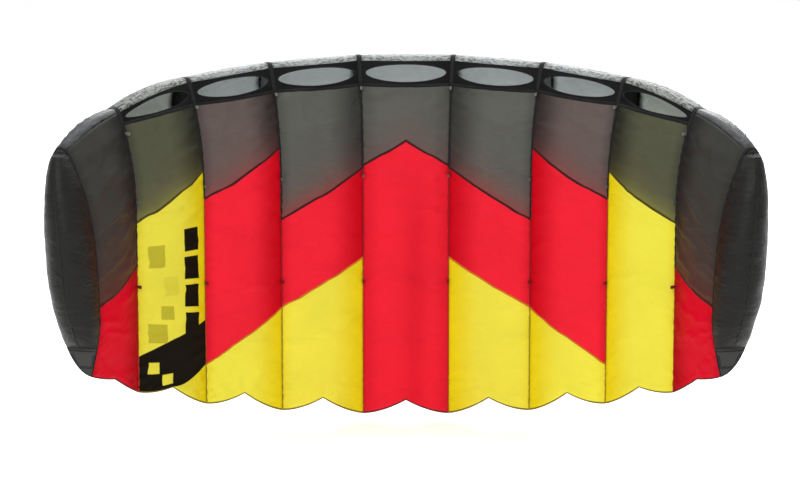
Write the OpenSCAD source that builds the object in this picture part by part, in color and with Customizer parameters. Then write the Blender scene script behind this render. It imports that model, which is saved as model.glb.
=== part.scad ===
// Ram-air foil kite: nine inflated cells on ten ribs, with a rounded pod closing each tip.
// Frame: X across the span, Z along the chord towards the nose, -Y towards the flyer (the underside).
// Origin: midway across the span, at the level of the centre trailing edge, in the middle of the depth.

/* [Planform] */
// Width of the centre cell between its two ribs, mm
centre_cell_w = 302; // [290:1:310]
// Chord of the two centre ribs, nose to trailing edge, mm
root_chord = 1270; // [1230:1:1290]
// Depth of the notch in the trailing edge at mid cell, mm
te_notch = 48; // [20:1:60]

/* [Section] */
// Thickness of the centre ribs as a share of their chord
root_thick = 0.155; // [0.14:0.005:0.17]
// Thickness of the tip ribs as a share of their chord
tip_thick = 0.236; // [0.22:0.002:0.245]
// Height of the nose above the flat underside, as a share of chord
nose_high = 0.100; // [0.09:0.005:0.11]
// Bulge of the underside cloth between ribs, mm
bulge_under = 22; // [10:1:26]
// Bulge of the upper cloth between ribs, mm
bulge_top = 30; // [10:1:34]
// Thickness at which cloth is drawn, mm
cloth_t = 2; // [1.6:0.1:2.2]

/* [Inlets] */
// Inlet width as a share of the cell
inlet_w = 0.88; // [0.6:0.01:0.9]
// Inlet height as a share of the nose band
inlet_h = 0.72; // [0.5:0.01:0.75]

/* [Bridle loops] */
// Radius of the eye in each webbing loop, mm
eye_r = 3.2; // [2.5:0.1:4]
// Width of the loop webbing, mm
tape_w = 10; // [8:1:14]
// Distance from the rib seam to the centre of the eye, mm
loop_len = 15; // [12:1:20]

/* [Tips] */
// How far each tip pod stands out from its rib, mm
pod_d = 110; // [60:1:120]

/* [Hidden] */
$fn = 48;
rib_t = 2;          // rib cloth
fix_gap = 0.1;      // a sewn edge against its own rib
swing_gap = 0.6;    // at the seam where two sections hinge
swing_k = 0.042;    // extra room per mm above the hinge line
depth0 = 232.5;     // from the centre seam line to the middle of the depth
row_s = [0.082, 0.32, 0.62];     // chord positions of the A, B and C loops
brow_s = 0.012;     // upper edge of the nose band

kw = centre_cell_w / 302;
kc = root_chord / 1270;

// one entry per cell, from the centre outwards
cell_w = [302, 295.5, 295.5, 293.5, 255] * kw;
cell_roll = [0, 15, 28, 41, 65];
cell_notch = [1.0, 1.04, 1.04, 0.8, 0.4] * te_notch;
cell_bulge = [1, 1, 1, 0.95, 0.8];

// one entry per rib, from the centre outwards
rib_roll = [7.5, 21.5, 34.5, 53, 74];
nose_z = [1270, 1257, 1230, 1161, 1070] * kc;
rib_c = [1270, 1226, 1139, 980, 778] * kc;
thick = [root_thick, root_thick + 0.002, root_thick + 0.005, root_thick + 0.015, tip_thick];
nose_h = [nose_high, nose_high, nose_high, nose_high - 0.008, 0.175];
fade_s = [0.38, 0.38, 0.38, 0.38];
lip_at = [0.075, 0.075, 0.075, 0.051, 0.051];   // lower edge of the nose band at each rib
nose_swell = [0, 0, 2, 17, 22];                 // how far the nose stands forward at mid cell, mm

// colour seams on the underside: [at the inboard rib, at the outboard rib], as shares of chord
seam_a = [[0.293, 0.293], [0.299, 0.438], [0.230, 0.360], [0.272, 0.393], [0.547, 0.685]];
seam_b = [undef, [0.552, 0.694], [0.696, 0.875], undef, undef];

grey = [0.36, 0.38, 0.37];
black = [0.12, 0.13, 0.13];
red = [0.90, 0.07, 0.16];
yellow = [0.93, 0.85, 0.12];
pale = [0.62, 0.65, 0.65];

function pick(v, i) = v[i];
function mix(a, b, t) = a * (1 - t) + b * t;
function clamp01(x) = max(0, min(1, x));

// ---- arc of the rib seams, seen along the chord
function arc_x(i) = i == 0 ? cell_w[0] / 2 : arc_x(i - 1) + cell_w[i] * cos(cell_roll[i]);
function arc_y(i) = i == 0 ? depth0 : arc_y(i - 1) - cell_w[i] * sin(cell_roll[i]);
function nrm(a, sd) = [sd * sin(a), cos(a), 0];       // out through the upper cloth
function spn(a, sd) = [sd * cos(a), -sin(a), 0];      // along the span, outwards
function rib_o(i, sd) = [sd * arc_x(i), arc_y(i), nose_z[i]];

// ---- section of a rib; q < 0 is the underside at s = -q, q >= 0 the upper side at s = q
function tip_tail(s) = 0.045 * pow(max(0, (s - 0.75) / 0.25), 1.4);
function under0(i, s) = i < 4 ? 0.88 * nose_h[i] * pow(max(0, 1 - s / fade_s[i]), 2.5)
    : 0.72 * nose_h[i] * pow(max(0, 1 - s / 0.8), 4) + 0.026 * max(0, 1 - s / 0.75) + tip_tail(s);
function under(i, s) = s >= brow_s ? under0(i, s)
    : mix(nose_h[i], under0(i, brow_s), sqrt(max(0, s) / brow_s));
function foil(s) = 10 * (0.2969 * sqrt(max(0, s)) - 0.126 * s - 0.3516 * s * s + 0.2843 * pow(s, 3) - 0.1036 * pow(s, 4));
function tip_top(s) = (nose_h[4] + (thick[4] - nose_h[4]) * sin(90 * min(1, sqrt(max(0, s) / 0.3))))
    * pow(max(0, 1 - pow(max(0, (s - 0.2) / 0.8), 3.5)), 0.68) + tip_tail(s);
function upper(i, s) = i == 4 ? tip_top(s) : nose_h[i] * pow(max(0, 1 - s / 0.35), 2) + thick[i] * foil(s);
function te_lift(s) = 5 * pow(s, 6);
function h_of(i, q) = q < 0 ? under(i, -q) * rib_c[i] : upper(i, q) * rib_c[i] + te_lift(q);
function sec(i, q) = [-abs(q) * rib_c[i], h_of(i, q)];
// inward unit normal of the section, by difference along it
function sec_n(i, q) = let (
        e = 0.002,
        a = sec(i, max(-1, q - e)), b = sec(i, min(1, q + e)),
        d = b - a, l = norm(d))
    [d[1], -d[0]] / l * -1;
function sec_in(i, q, off) = sec(i, q) + off * sec_n(i, q);

// ---- a point on the cloth of cell k (between rib k-1 and rib k), u = 0 inboard to 1 outboard
function bulge(k, q, u) = let (s = abs(q),
        tail = pow(clamp01((1 - s) / 0.2), 0.8),
        nose = 0.35 + 0.65 * clamp01(s / 0.16))
    4 * u * (1 - u) * tail * nose * cell_bulge[k] * (q < 0 ? -bulge_under : bulge_top);
function notch(k, q, u) = cell_notch[k] * pow(1 - abs(2 * u - 1), 1.75)
    * pow(clamp01((abs(q) - 0.72) / 0.28), 1.6);
function swell(k, q, u) = nose_swell[k] * 4 * u * (1 - u) * pow(clamp01(1 - abs(q) / 0.1), 2);
// edge of a panel beside rib i; dir is +1 outboard of the rib, -1 inboard; g is extra room per mm of height
function edge_pt(i, sd, q, off, dir, g0, gk) = let (
        p = sec_in(i, q, off), gap = rib_t / 2 + g0 + gk * max(0, h_of(i, q)))
    rib_o(i, sd) + [0, 0, p[0]] + nrm(rib_roll[i], sd) * p[1] + spn(rib_roll[i], sd) * gap * dir;
function skin_pt(k, sd, q, u, off) = let (
        a = k == 0 ? edge_pt(0, -1, q, off, -1, fix_gap, 0) : edge_pt(k - 1, sd, q, off, 1, swing_gap, swing_k),
        b = edge_pt(k, k == 0 ? 1 : sd, q, off, -1, fix_gap, 0))
    mix(a, b, u) + nrm(cell_roll[k], sd) * bulge(k, q, u) + [0, 0, notch(k, q, u) + swell(k, q, u)];

// ---- closed solid between an outer and an inner grid of points
module slab(outer, inner, flip = false) {
    na = len(outer); nb = len(outer[0]); m = na * nb;
    pts = concat([for (r = outer) for (p = r) p], [for (r = inner) for (p = r) p]);
    function id(a, b, l) = l * m + a * nb + b;
    function quad(p, q, r, s) = [[p, q, r], [p, r, s]];
    f = concat(
        [for (a = [0:na - 2]) for (b = [0:nb - 2]) each quad(id(a, b, 0), id(a + 1, b, 0), id(a + 1, b + 1, 0), id(a, b + 1, 0))],
        [for (a = [0:na - 2]) for (b = [0:nb - 2]) each quad(id(a, b, 1), id(a, b + 1, 1), id(a + 1, b + 1, 1), id(a + 1, b, 1))],
        [for (a = [0:na - 2]) each quad(id(a, 0, 0), id(a, 0, 1), id(a + 1, 0, 1), id(a + 1, 0, 0))],
        [for (a = [0:na - 2]) each quad(id(a, nb - 1, 0), id(a + 1, nb - 1, 0), id(a + 1, nb - 1, 1), id(a, nb - 1, 1))],
        [for (b = [0:nb - 2]) each quad(id(0, b, 0), id(0, b + 1, 0), id(0, b + 1, 1), id(0, b, 1))],
        [for (b = [0:nb - 2]) each quad(id(na - 1, b, 0), id(na - 1, b, 1), id(na - 1, b + 1, 1), id(na - 1, b + 1, 0))]);
    polyhedron(points = pts, faces = flip ? [for (t = f) [t[2], t[1], t[0]]] : f, convexity = 6);
}

// ---- cloth panel of cell k: from seam qa to seam qb, each [inboard, outboard] or [inboard, outboard, peak]
function seam_at(sm, u) = mix(sm[0], sm[1], u) + (len(sm) > 2 ? (sm[2] - sm[0]) * (1 - abs(2 * u - 1)) : 0);
module panel(k, sd, side, qa, qb, nu, nv) {
    g = [for (off = [0, cloth_t]) [for (i = [0:nu]) [for (j = [0:nv])
        skin_pt(k, sd, side * mix(seam_at(qa, i / nu), seam_at(qb, i / nu), j / nv), i / nu, off)]]];
    slab(g[0], g[1], side * sd > 0);
}

seam_gap = 0.0007;   // the two sides of a colour seam stay this share of chord apart
function before(sm) = [for (x = sm) x - seam_gap / 2];
function after(sm) = [for (x = sm) x + seam_gap / 2];
function first_seam(k) = k == 0 ? [seam_a[0][0], seam_a[0][1], 0.218] : seam_a[k];
function lip(k) = [lip_at[max(0, k - 1)], lip_at[k]];

module top_skin(k, sd) {
    qs = [-brow_s + seam_gap, -0.004, 0, 0.003, 0.010, 0.024, 0.05, 0.09, 0.15, 0.24, 0.36, 0.5, 0.64, 0.78, 0.9, 1];
    nu = 4;
    g = [for (off = [0, cloth_t]) [for (i = [0:nu]) [for (q = qs) skin_pt(k, sd, q, i / nu, off)]]];
    slab(g[0], g[1], sd > 0);
}

module bottom_front(k, sd) panel(k, sd, -1, after(k == 4 ? [brow_s, brow_s] : lip(k)), before(first_seam(k)), 4, k == 4 ? 8 : 5);
module bottom_middle(k, sd) panel(k, sd, -1, after(seam_a[k]), before(seam_b[k]), 4, 3);
module bottom_rear(k, sd) panel(k, sd, -1, after(seam_b[k] == undef ? first_seam(k) : seam_b[k]), [1, 1, 1], 4, 5);

// ---- nose band with its oval inlet
module nose_band(k, sd) {
    n = 32;
    function mid_s(u) = (seam_at(lip(k), u) + brow_s) / 2;
    function half_s(u) = (seam_at(lip(k), u) - brow_s - seam_gap) / 2;
    function rim(a) = [cos(a), sin(a)] / max(abs(cos(a)), abs(sin(a)));
    function uv(a, t) = mix([inlet_w * cos(a), inlet_h * sin(a)], rim(a), t);
    function pt(a, t, off) = let (w = uv(a, t), u = 0.5 + 0.5 * w[0])
        skin_pt(k, sd, -(mid_s(u) + half_s(u) * w[1]), u, off);
    ts = [0, 0.5, 1];
    m = n * 3;
    pts = [for (off = [0, cloth_t]) for (t = ts) for (j = [0:n - 1]) pt(360 * j / n, t, off)];
    function id(l, r, j) = l * m + r * n + (j % n);
    f = concat(
        [for (r = [0:1]) for (j = [0:n - 1]) each [[id(0, r, j), id(0, r, j + 1), id(0, r + 1, j + 1)], [id(0, r, j), id(0, r + 1, j + 1), id(0, r + 1, j)]]],
        [for (r = [0:1]) for (j = [0:n - 1]) each [[id(1, r, j), id(1, r + 1, j + 1), id(1, r, j + 1)], [id(1, r, j), id(1, r + 1, j), id(1, r + 1, j + 1)]]],
        [for (j = [0:n - 1]) each [[id(0, 0, j), id(1, 0, j + 1), id(0, 0, j + 1)], [id(0, 0, j), id(1, 0, j), id(1, 0, j + 1)]]],
        [for (j = [0:n - 1]) each [[id(0, 2, j), id(0, 2, j + 1), id(1, 2, j + 1)], [id(0, 2, j), id(1, 2, j + 1), id(1, 2, j)]]]);
    polyhedron(points = pts, faces = sd < 0 ? f : [for (t = f) [t[2], t[1], t[0]]], convexity = 6);
}

// ---- rib cloth, with cross ports that let the cells share air
rib_q = [1, 0.9, 0.78, 0.64, 0.5, 0.36, 0.24, 0.15, 0.09, 0.05, 0.024, 0.010, 0.003, 0,
         -0.004, -0.012, -0.03, -0.05, -0.075, -0.11, -0.16, -0.22, -0.3, -0.38, -0.5, -0.62, -0.75, -0.81, -0.87, -0.93, -1];
port_s = [0.19, 0.37, 0.55];
function port_r(i, s) = 0.29 * (h_of(i, s) - h_of(i, -s));
// places 2D drawings of a rib's plane: x is along the chord towards the nose, y is out through the upper cloth
module in_rib(i, sd) {
    n = nrm(rib_roll[i], sd); w = [-n[1], n[0], 0]; o = rib_o(i, sd);
    multmatrix([[0, n[0], w[0], o[0]], [0, n[1], w[1], o[1]], [1, n[2], w[2], o[2]], [0, 0, 0, 1]]) children();
}
module rib(i, sd) {
    in_rib(i, sd) linear_extrude(height = rib_t, center = true) difference() {
        polygon([for (q = rib_q) sec(i, q)]);
        if (i < 4) for (s = port_s)
            translate([-s * rib_c[i], (h_of(i, s) + h_of(i, -s)) / 2]) circle(r = port_r(i, s));
        if (i == 4) {
            translate([-0.37 * rib_c[i], (h_of(i, 0.37) + h_of(i, -0.37)) / 2]) circle(r = 34);
            polygon([drain_pt(0, 1, 8), drain_pt(1, 1, 8), drain_pt(1, 0, 8), drain_pt(0, 0, 8)]);
        }
    }
}

// ---- drain at the rear corner of each tip; a = 0 front to 1 rear, b = 0 underside to 1 upper side
drain_s = [0.885, 0.965];
function drain_pt(a, b, inset) = let (s = mix(drain_s[0], drain_s[1], a), c = rib_c[4],
        lo = h_of(4, -s) + inset, hi = h_of(4, s) - inset)
    [-s * c + (a == 0 ? -inset : inset), mix(lo, hi, b)];
module drain_flap(sd) {
    // stands just off the outboard face of the tip rib
    n = nrm(rib_roll[4], sd); w = [-n[1], n[0], 0];
    out = spn(rib_roll[4], sd);
    translate(out * (rib_t / 2 + 0.6 + 0.75)) in_rib(4, sd) linear_extrude(height = 1.5, center = true)
        polygon([drain_pt(0, 1, 2), drain_pt(1, 1, 2), drain_pt(1, 0, 2), drain_pt(0, 0, 2)]);
}

// ---- tip pod: two gores, sewn together along the outermost line
pod_end = 0.872;
function pod_D(s) = 6 + (pod_d - 6) * pow(max(0, 1 - pow(abs(2 * (s / pod_end) - 1), 2.6)), 0.62);
function pod_mid(s) = mix(h_of(4, -s), h_of(4, s), 0.5);
function pod_pt(sd, s, v, part, off) = let (
        m = pod_mid(s), e = part == 0 ? m - h_of(4, -s) : h_of(4, s) - m,
        d = fix_gap + (pod_D(s) - off) * sin(90 * v),
        h = m + (part == 0 ? -1 : 1) * (0.05 + (e - 0.05 - off) * cos(90 * v)))
    rib_o(4, sd) + [0, 0, -s * rib_c[4]] + nrm(rib_roll[4], sd) * h
    + spn(rib_roll[4], sd) * (rib_t / 2 + d);
module pod_gore(sd, part) {
    ss = [0.03, 0.06, 0.11, 0.18, 0.28, 0.4, 0.52, 0.64, 0.74, 0.82, 0.855, pod_end];
    nv = 5;
    g = [for (off = [0, cloth_t]) [for (j = [0:nv]) [for (s = ss) pod_pt(sd, s, j / nv, part, off)]]];
    slab(g[0], g[1], (part == 0 ? 1 : -1) * sd < 0);
}
module tip_pod(sd) { pod_gore(sd, 0); pod_gore(sd, 1); }

// ---- webbing loops sewn into the rib seam for the bridle
module bridle_loop(i, sd, s) {
    root = h_of(i, -(s + tape_w / 2 / rib_c[i]));
    o = rib_o(i, sd) + [0, 0, -s * rib_c[i] - tape_w / 2] + nrm(rib_roll[i], sd) * (root - loop_len);
    translate(o) rotate([0, 0, -sd * rib_roll[i]]) linear_extrude(height = tape_w) difference() {
        union() {
            circle(r = eye_r + 0.9);
            translate([-0.9, 0]) square([1.8, loop_len - 0.4]);
        }
        circle(r = eye_r);
    }
}
module bridle_loops(i, sd) for (s = row_s) bridle_loop(i, sd, s);

color(pale) top_skin(0, 1);  // top_skin_centre
color(pale) top_skin(1, -1);  // top_skin_left_1
color(pale) top_skin(2, -1);  // top_skin_left_2
color(pale) top_skin(3, -1);  // top_skin_left_3
color(pale) top_skin(4, -1);  // top_skin_left_4
color(pale) top_skin(1, 1);  // top_skin_right_1
color(pale) top_skin(2, 1);  // top_skin_right_2
color(pale) top_skin(3, 1);  // top_skin_right_3
color(pale) top_skin(4, 1);  // top_skin_right_4
color(black) nose_band(0, 1);  // nose_band_centre
color(black) nose_band(1, -1);  // nose_band_left_1
color(black) nose_band(2, -1);  // nose_band_left_2
color(black) nose_band(3, -1);  // nose_band_left_3
color(black) nose_band(1, 1);  // nose_band_right_1
color(black) nose_band(2, 1);  // nose_band_right_2
color(black) nose_band(3, 1);  // nose_band_right_3
color(grey) bottom_front(0, 1);  // bottom_grey_centre
color(grey) bottom_front(1, -1);  // bottom_grey_left_1
color(grey) bottom_front(2, -1);  // bottom_grey_left_2
color(grey) bottom_front(3, -1);  // bottom_grey_left_3
color(grey) bottom_front(4, -1);  // bottom_grey_left_4
color(grey) bottom_front(1, 1);  // bottom_grey_right_1
color(grey) bottom_front(2, 1);  // bottom_grey_right_2
color(grey) bottom_front(3, 1);  // bottom_grey_right_3
color(grey) bottom_front(4, 1);  // bottom_grey_right_4
color(red) bottom_rear(0, 1);  // bottom_red_centre
color(red) bottom_middle(1, -1);  // bottom_red_left_1
color(red) bottom_middle(2, -1);  // bottom_red_left_2
color(red) bottom_rear(4, -1);  // bottom_red_left_4
color(red) bottom_middle(1, 1);  // bottom_red_right_1
color(red) bottom_middle(2, 1);  // bottom_red_right_2
color(red) bottom_rear(4, 1);  // bottom_red_right_4
color(yellow) bottom_rear(1, -1);  // bottom_yellow_left_1
color(yellow) bottom_rear(2, -1);  // bottom_yellow_left_2
color(yellow) bottom_rear(3, -1);  // bottom_yellow_left_3
color(yellow) bottom_rear(1, 1);  // bottom_yellow_right_1
color(yellow) bottom_rear(2, 1);  // bottom_yellow_right_2
color(yellow) bottom_rear(3, 1);  // bottom_yellow_right_3
color(black) rib(0, -1);  // rib_left_1
color(black) rib(1, -1);  // rib_left_2
color(black) rib(2, -1);  // rib_left_3
color(black) rib(3, -1);  // rib_left_4
color(black) rib(4, -1);  // rib_left_5
color(black) rib(0, 1);  // rib_right_1
color(black) rib(1, 1);  // rib_right_2
color(black) rib(2, 1);  // rib_right_3
color(black) rib(3, 1);  // rib_right_4
color(black) rib(4, 1);  // rib_right_5
color(black) tip_pod(-1);  // tip_pod_left
color(black) tip_pod(1);  // tip_pod_right
color(grey) drain_flap(-1);  // drain_flap_left
color(grey) drain_flap(1);  // drain_flap_right
color(black) bridle_loops(0, -1);  // bridle_loops_left_1
color(black) bridle_loops(1, -1);  // bridle_loops_left_2
color(black) bridle_loops(2, -1);  // bridle_loops_left_3
color(black) bridle_loops(3, -1);  // bridle_loops_left_4
color(black) bridle_loops(0, 1);  // bridle_loops_right_1
color(black) bridle_loops(1, 1);  // bridle_loops_right_2
color(black) bridle_loops(2, 1);  // bridle_loops_right_3
color(black) bridle_loops(3, 1);  // bridle_loops_right_4
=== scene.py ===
"""Ram-air foil kite: cloth, seams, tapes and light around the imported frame. Lengths inside are millimetres until a mesh is made."""
import math

import bpy
import numpy as np
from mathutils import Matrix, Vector


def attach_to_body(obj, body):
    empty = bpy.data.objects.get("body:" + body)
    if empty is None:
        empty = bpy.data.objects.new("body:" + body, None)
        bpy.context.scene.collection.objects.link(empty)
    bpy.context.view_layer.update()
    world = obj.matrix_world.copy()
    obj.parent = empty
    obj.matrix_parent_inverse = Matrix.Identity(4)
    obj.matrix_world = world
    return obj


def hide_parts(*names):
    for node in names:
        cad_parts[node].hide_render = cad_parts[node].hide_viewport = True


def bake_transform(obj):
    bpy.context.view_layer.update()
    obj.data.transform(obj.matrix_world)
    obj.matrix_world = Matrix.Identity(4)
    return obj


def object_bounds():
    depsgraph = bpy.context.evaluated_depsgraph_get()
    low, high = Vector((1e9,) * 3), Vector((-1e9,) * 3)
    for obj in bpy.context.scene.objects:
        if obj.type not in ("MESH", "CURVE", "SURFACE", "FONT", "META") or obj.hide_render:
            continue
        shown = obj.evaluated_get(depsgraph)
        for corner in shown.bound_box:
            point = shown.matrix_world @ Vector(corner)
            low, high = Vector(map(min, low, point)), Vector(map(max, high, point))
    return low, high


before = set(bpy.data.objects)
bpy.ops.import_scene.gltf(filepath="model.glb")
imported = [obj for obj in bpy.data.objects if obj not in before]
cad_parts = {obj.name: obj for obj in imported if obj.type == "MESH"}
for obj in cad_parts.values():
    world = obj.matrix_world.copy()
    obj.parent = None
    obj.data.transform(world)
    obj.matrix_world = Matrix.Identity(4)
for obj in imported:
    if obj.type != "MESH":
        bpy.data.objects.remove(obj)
CAD_BOX = [[float(x) for x in v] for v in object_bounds()]
SCENE = bpy.context.scene

# ------------------------------------------------------------------ the kite's lines, as in the CAD source
BROW, DEPTH0 = 0.012, 232.5
CELL_W = [302, 295.5, 295.5, 293.5, 255]
CELL_ROLL = [0, 15, 28, 41, 65]
RIB_ROLL = [7.5, 21.5, 34.5, 53, 74]
NOSE_Z = [1270, 1257, 1230, 1161, 1070]
RIB_C = [1270, 1226, 1139, 980, 778]
THICK = [0.155, 0.157, 0.160, 0.170, 0.236]
NOSE_H = [0.1, 0.1, 0.1, 0.092, 0.175]
LIP_AT = [0.075, 0.075, 0.075, 0.051, 0.051]
NOSE_SWELL = [0, 0, 2, 17, 22]
CELL_NOTCH = [48 * v for v in (1.0, 1.04, 1.04, 0.8, 0.4)]
CELL_BULGE = [1, 1, 1, 0.95, 0.8]
SEAM_A = [[0.293, 0.293, 0.218], [0.299, 0.438], [0.230, 0.360], [0.272, 0.393], [0.547, 0.685]]
SEAM_B = [None, [0.552, 0.694], [0.696, 0.875], None, None]
ROW_S = [0.082, 0.32, 0.62]
PORT_S = [0.19, 0.37, 0.55]
POD_D, POD_END = 110.0, 0.872
DRAIN_S = [0.885, 0.965]
EYE_R, TAPE_W, LOOP_LEN = 3.2, 10.0, 15.0
NOSE_END = 0.13


def c01(x):
    return np.clip(x, 0.0, 1.0)


def mix(a, b, t):
    return a * (1 - t) + b * t


def smooth(x):
    x = c01(x)
    return x * x * (3 - 2 * x)


ARC_X = [CELL_W[0] / 2]
ARC_Y = [DEPTH0]
for _k in range(1, 5):
    ARC_X.append(ARC_X[-1] + CELL_W[_k] * math.cos(math.radians(CELL_ROLL[_k])))
    ARC_Y.append(ARC_Y[-1] - CELL_W[_k] * math.sin(math.radians(CELL_ROLL[_k])))


def nrm(a, sd):
    return np.array([sd * math.sin(math.radians(a)), math.cos(math.radians(a)), 0.0])


def spn(a, sd):
    return np.array([sd * math.cos(math.radians(a)), -math.sin(math.radians(a)), 0.0])


def rib_o(i, sd):
    return np.array([sd * ARC_X[i], ARC_Y[i], NOSE_Z[i]])


def tip_tail(s):
    return 0.045 * np.maximum(0, (s - 0.75) / 0.25) ** 1.4


def under0(i, s):
    if i < 4:
        return 0.88 * NOSE_H[i] * np.maximum(0, 1 - s / 0.38) ** 2.5
    return 0.72 * NOSE_H[4] * np.maximum(0, 1 - s / 0.8) ** 4 + 0.026 * np.maximum(0, 1 - s / 0.75) + tip_tail(s)


def under(i, s):
    edge = under0(i, np.array(BROW))
    return np.where(s >= BROW, under0(i, s), mix(NOSE_H[i], edge, np.sqrt(np.minimum(1, s / BROW))))


def foil(s):
    return 10 * (0.2969 * np.sqrt(s) - 0.126 * s - 0.3516 * s * s + 0.2843 * s**3 - 0.1036 * s**4)


def upper(i, s):
    if i < 4:
        return NOSE_H[i] * np.maximum(0, 1 - s / 0.35) ** 2 + THICK[i] * foil(s)
    rise = NOSE_H[4] + (THICK[4] - NOSE_H[4]) * np.sin(math.pi / 2 * np.minimum(1, np.sqrt(s / 0.3)))
    return rise * np.maximum(0, 1 - np.maximum(0, (s - 0.2) / 0.8) ** 3.5) ** 0.68 + tip_tail(s)


def height(i, q):
    """Height of rib i's outline over the chord line: q < 0 underside, q >= 0 upper side."""
    s = np.abs(np.asarray(q, float))
    lo = under(i, s) * RIB_C[i]
    hi = upper(i, s) * RIB_C[i] + 5 * s**6
    one = np.array(1.0)
    drop = float(upper(i, one) * RIB_C[i] + 5 - under(i, one) * RIB_C[i] - 0.7)
    hi = hi - drop * c01((s - 0.84) / 0.16) ** 2
    return np.where(q < 0, lo, hi)


def section(i, q, off):
    """Outline of rib i moved inwards by off: (along the chord, height)."""
    q = np.asarray(q, float)
    e = 0.002
    qa, qb = np.maximum(-1, q - e), np.minimum(1, q + e)
    dx = -(np.abs(qb) - np.abs(qa)) * RIB_C[i]
    dy = height(i, qb) - height(i, qa)
    ln = np.hypot(dx, dy) + 1e-9
    return -np.abs(q) * RIB_C[i] - off * dy / ln, height(i, q) + off * dx / ln


def edge_line(i, sd, q, off, way, gap):
    x, h = section(i, q, off)
    p = rib_o(i, sd) + h[..., None] * nrm(RIB_ROLL[i], sd) + gap * way * spn(RIB_ROLL[i], sd)
    p[..., 2] += x
    return p


def bulge(k, q, u):
    s = np.abs(q)
    tail = c01((1 - s) / 0.2) ** 0.8
    nose = 0.35 + 0.65 * c01(s / 0.16)
    return 4 * u * (1 - u) * tail * nose * CELL_BULGE[k] * np.where(q < 0, -22.0, 30.0)


def notch(k, q, u):
    return CELL_NOTCH[k] * np.maximum(0, 1 - np.abs(2 * u - 1)) ** 1.75 * c01((np.abs(q) - 0.72) / 0.28) ** 1.6


def swell(k, q, u):
    return NOSE_SWELL[k] * 4 * u * (1 - u) * c01(1 - np.abs(q) / 0.1) ** 2


def chord(k, u):
    return mix(RIB_C[max(0, k - 1)], RIB_C[k], u)


def base_surface(k, sd, q, u, off):
    q, u = np.broadcast_arrays(np.asarray(q, float), np.asarray(u, float))
    if k == 0:
        a = edge_line(0, -1, q, off, -1, 0.3)
        b = edge_line(0, 1, q, off, -1, 0.3)
    else:
        a = edge_line(k - 1, sd, q, off, 1, 0.3)
        b = edge_line(k, sd, q, off, -1, 0.3)
    p = a * (1 - u[..., None]) + b * u[..., None]
    p = p + bulge(k, q, u)[..., None] * nrm(CELL_ROLL[k], sd)
    p[..., 2] += notch(k, q, u) + swell(k, q, u)
    return p


# ------------------------------------------------------------------ creases
def waves(seed, n, lo, hi, tilt=1.0):
    """A smooth repeatable surface of n sine waves; wavelengths lo to hi mm, mostly across the span when tilt is small."""
    r = np.random.RandomState(seed)
    out = []
    for _ in range(n):
        length = r.uniform(lo, hi)
        angle = r.uniform(-1, 1) * tilt * math.pi / 2
        out.append((math.sin(angle) * 2 * math.pi / length, math.cos(angle) * 2 * math.pi / length, r.uniform(0, 2 * math.pi), r.uniform(0.5, 1)))

    def f(x, y):
        total = 0
        for kx, ky, ph, am in out:
            total = total + am * np.sin(kx * x + ky * y + ph)
        return total / math.sqrt(n)

    return f


SEED = {}
for _sd in (-1, 1):
    for _k in range(5):
        for _side in (0, 1):
            _base = 100 * _k + 10 * (_sd > 0) + _side
            SEED[_k, _sd, _side] = (waves(_base + 3, 7, 20, 46, 0.10), waves(_base + 5, 6, 70, 190, 0.42), waves(_base + 7, 6, 26, 60, 0.30))


def crease(k, sd, q, u):
    """Outward displacement in mm: gathers along the rib seams, slack waves across the cell."""
    s = np.abs(q)
    w = CELL_W[k]
    side = 1 if np.mean(q) > 0 else 0
    gather, slack, fine = SEED[k, sd, side]
    x, y = u * w, s * chord(k, u)
    d = np.minimum(u, 1 - u) * w
    near = np.exp(-d / 20.0) * (1 - np.exp(-d / 2.5))
    ends = c01(s / 0.05) * c01((1 - s) / 0.025)
    body = np.sin(math.pi * c01(u)) ** 0.7
    tail = 1 + 1.6 * c01((s - 0.86) / 0.14)
    more = 1.5 if side else 1.0
    return ends * more * (2.1 * near * gather(x * 0 + (u > 0.5) * 40.0, y) * tail + 0.95 * body * slack(x, y) + 0.38 * body * fine(x, y))


SIM = {}


def simulated(k, sd, q, u):
    """Displacement in mm that the cloth simulation found, sampled at (q, u)."""
    side = 1 if np.mean(q) > 0 else 0
    d = SIM.get((k, sd, side))
    if d is None:
        return 0.0
    s = np.abs(q)
    nv, nu = d.shape[:2]
    y, x = c01(s) * (nv - 1), c01(u) * (nu - 1)
    y0, x0 = np.minimum(y.astype(int), nv - 2), np.minimum(x.astype(int), nu - 2)
    fy, fx = (y - y0)[..., None], (x - x0)[..., None]
    return d[y0, x0] * (1 - fy) * (1 - fx) + d[y0 + 1, x0] * fy * (1 - fx) + d[y0, x0 + 1] * (1 - fy) * fx + d[y0 + 1, x0 + 1] * fy * fx


def surface(k, sd, q, u, off=0.3):
    q, u = np.broadcast_arrays(np.asarray(q, float), np.asarray(u, float))
    p = base_surface(k, sd, q, u, off)
    out = np.where(q < 0, -1.0, 1.0) * crease(k, sd, q, u)
    return p + out[..., None] * nrm(CELL_ROLL[k], sd) + simulated(k, sd, q, u)


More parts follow.
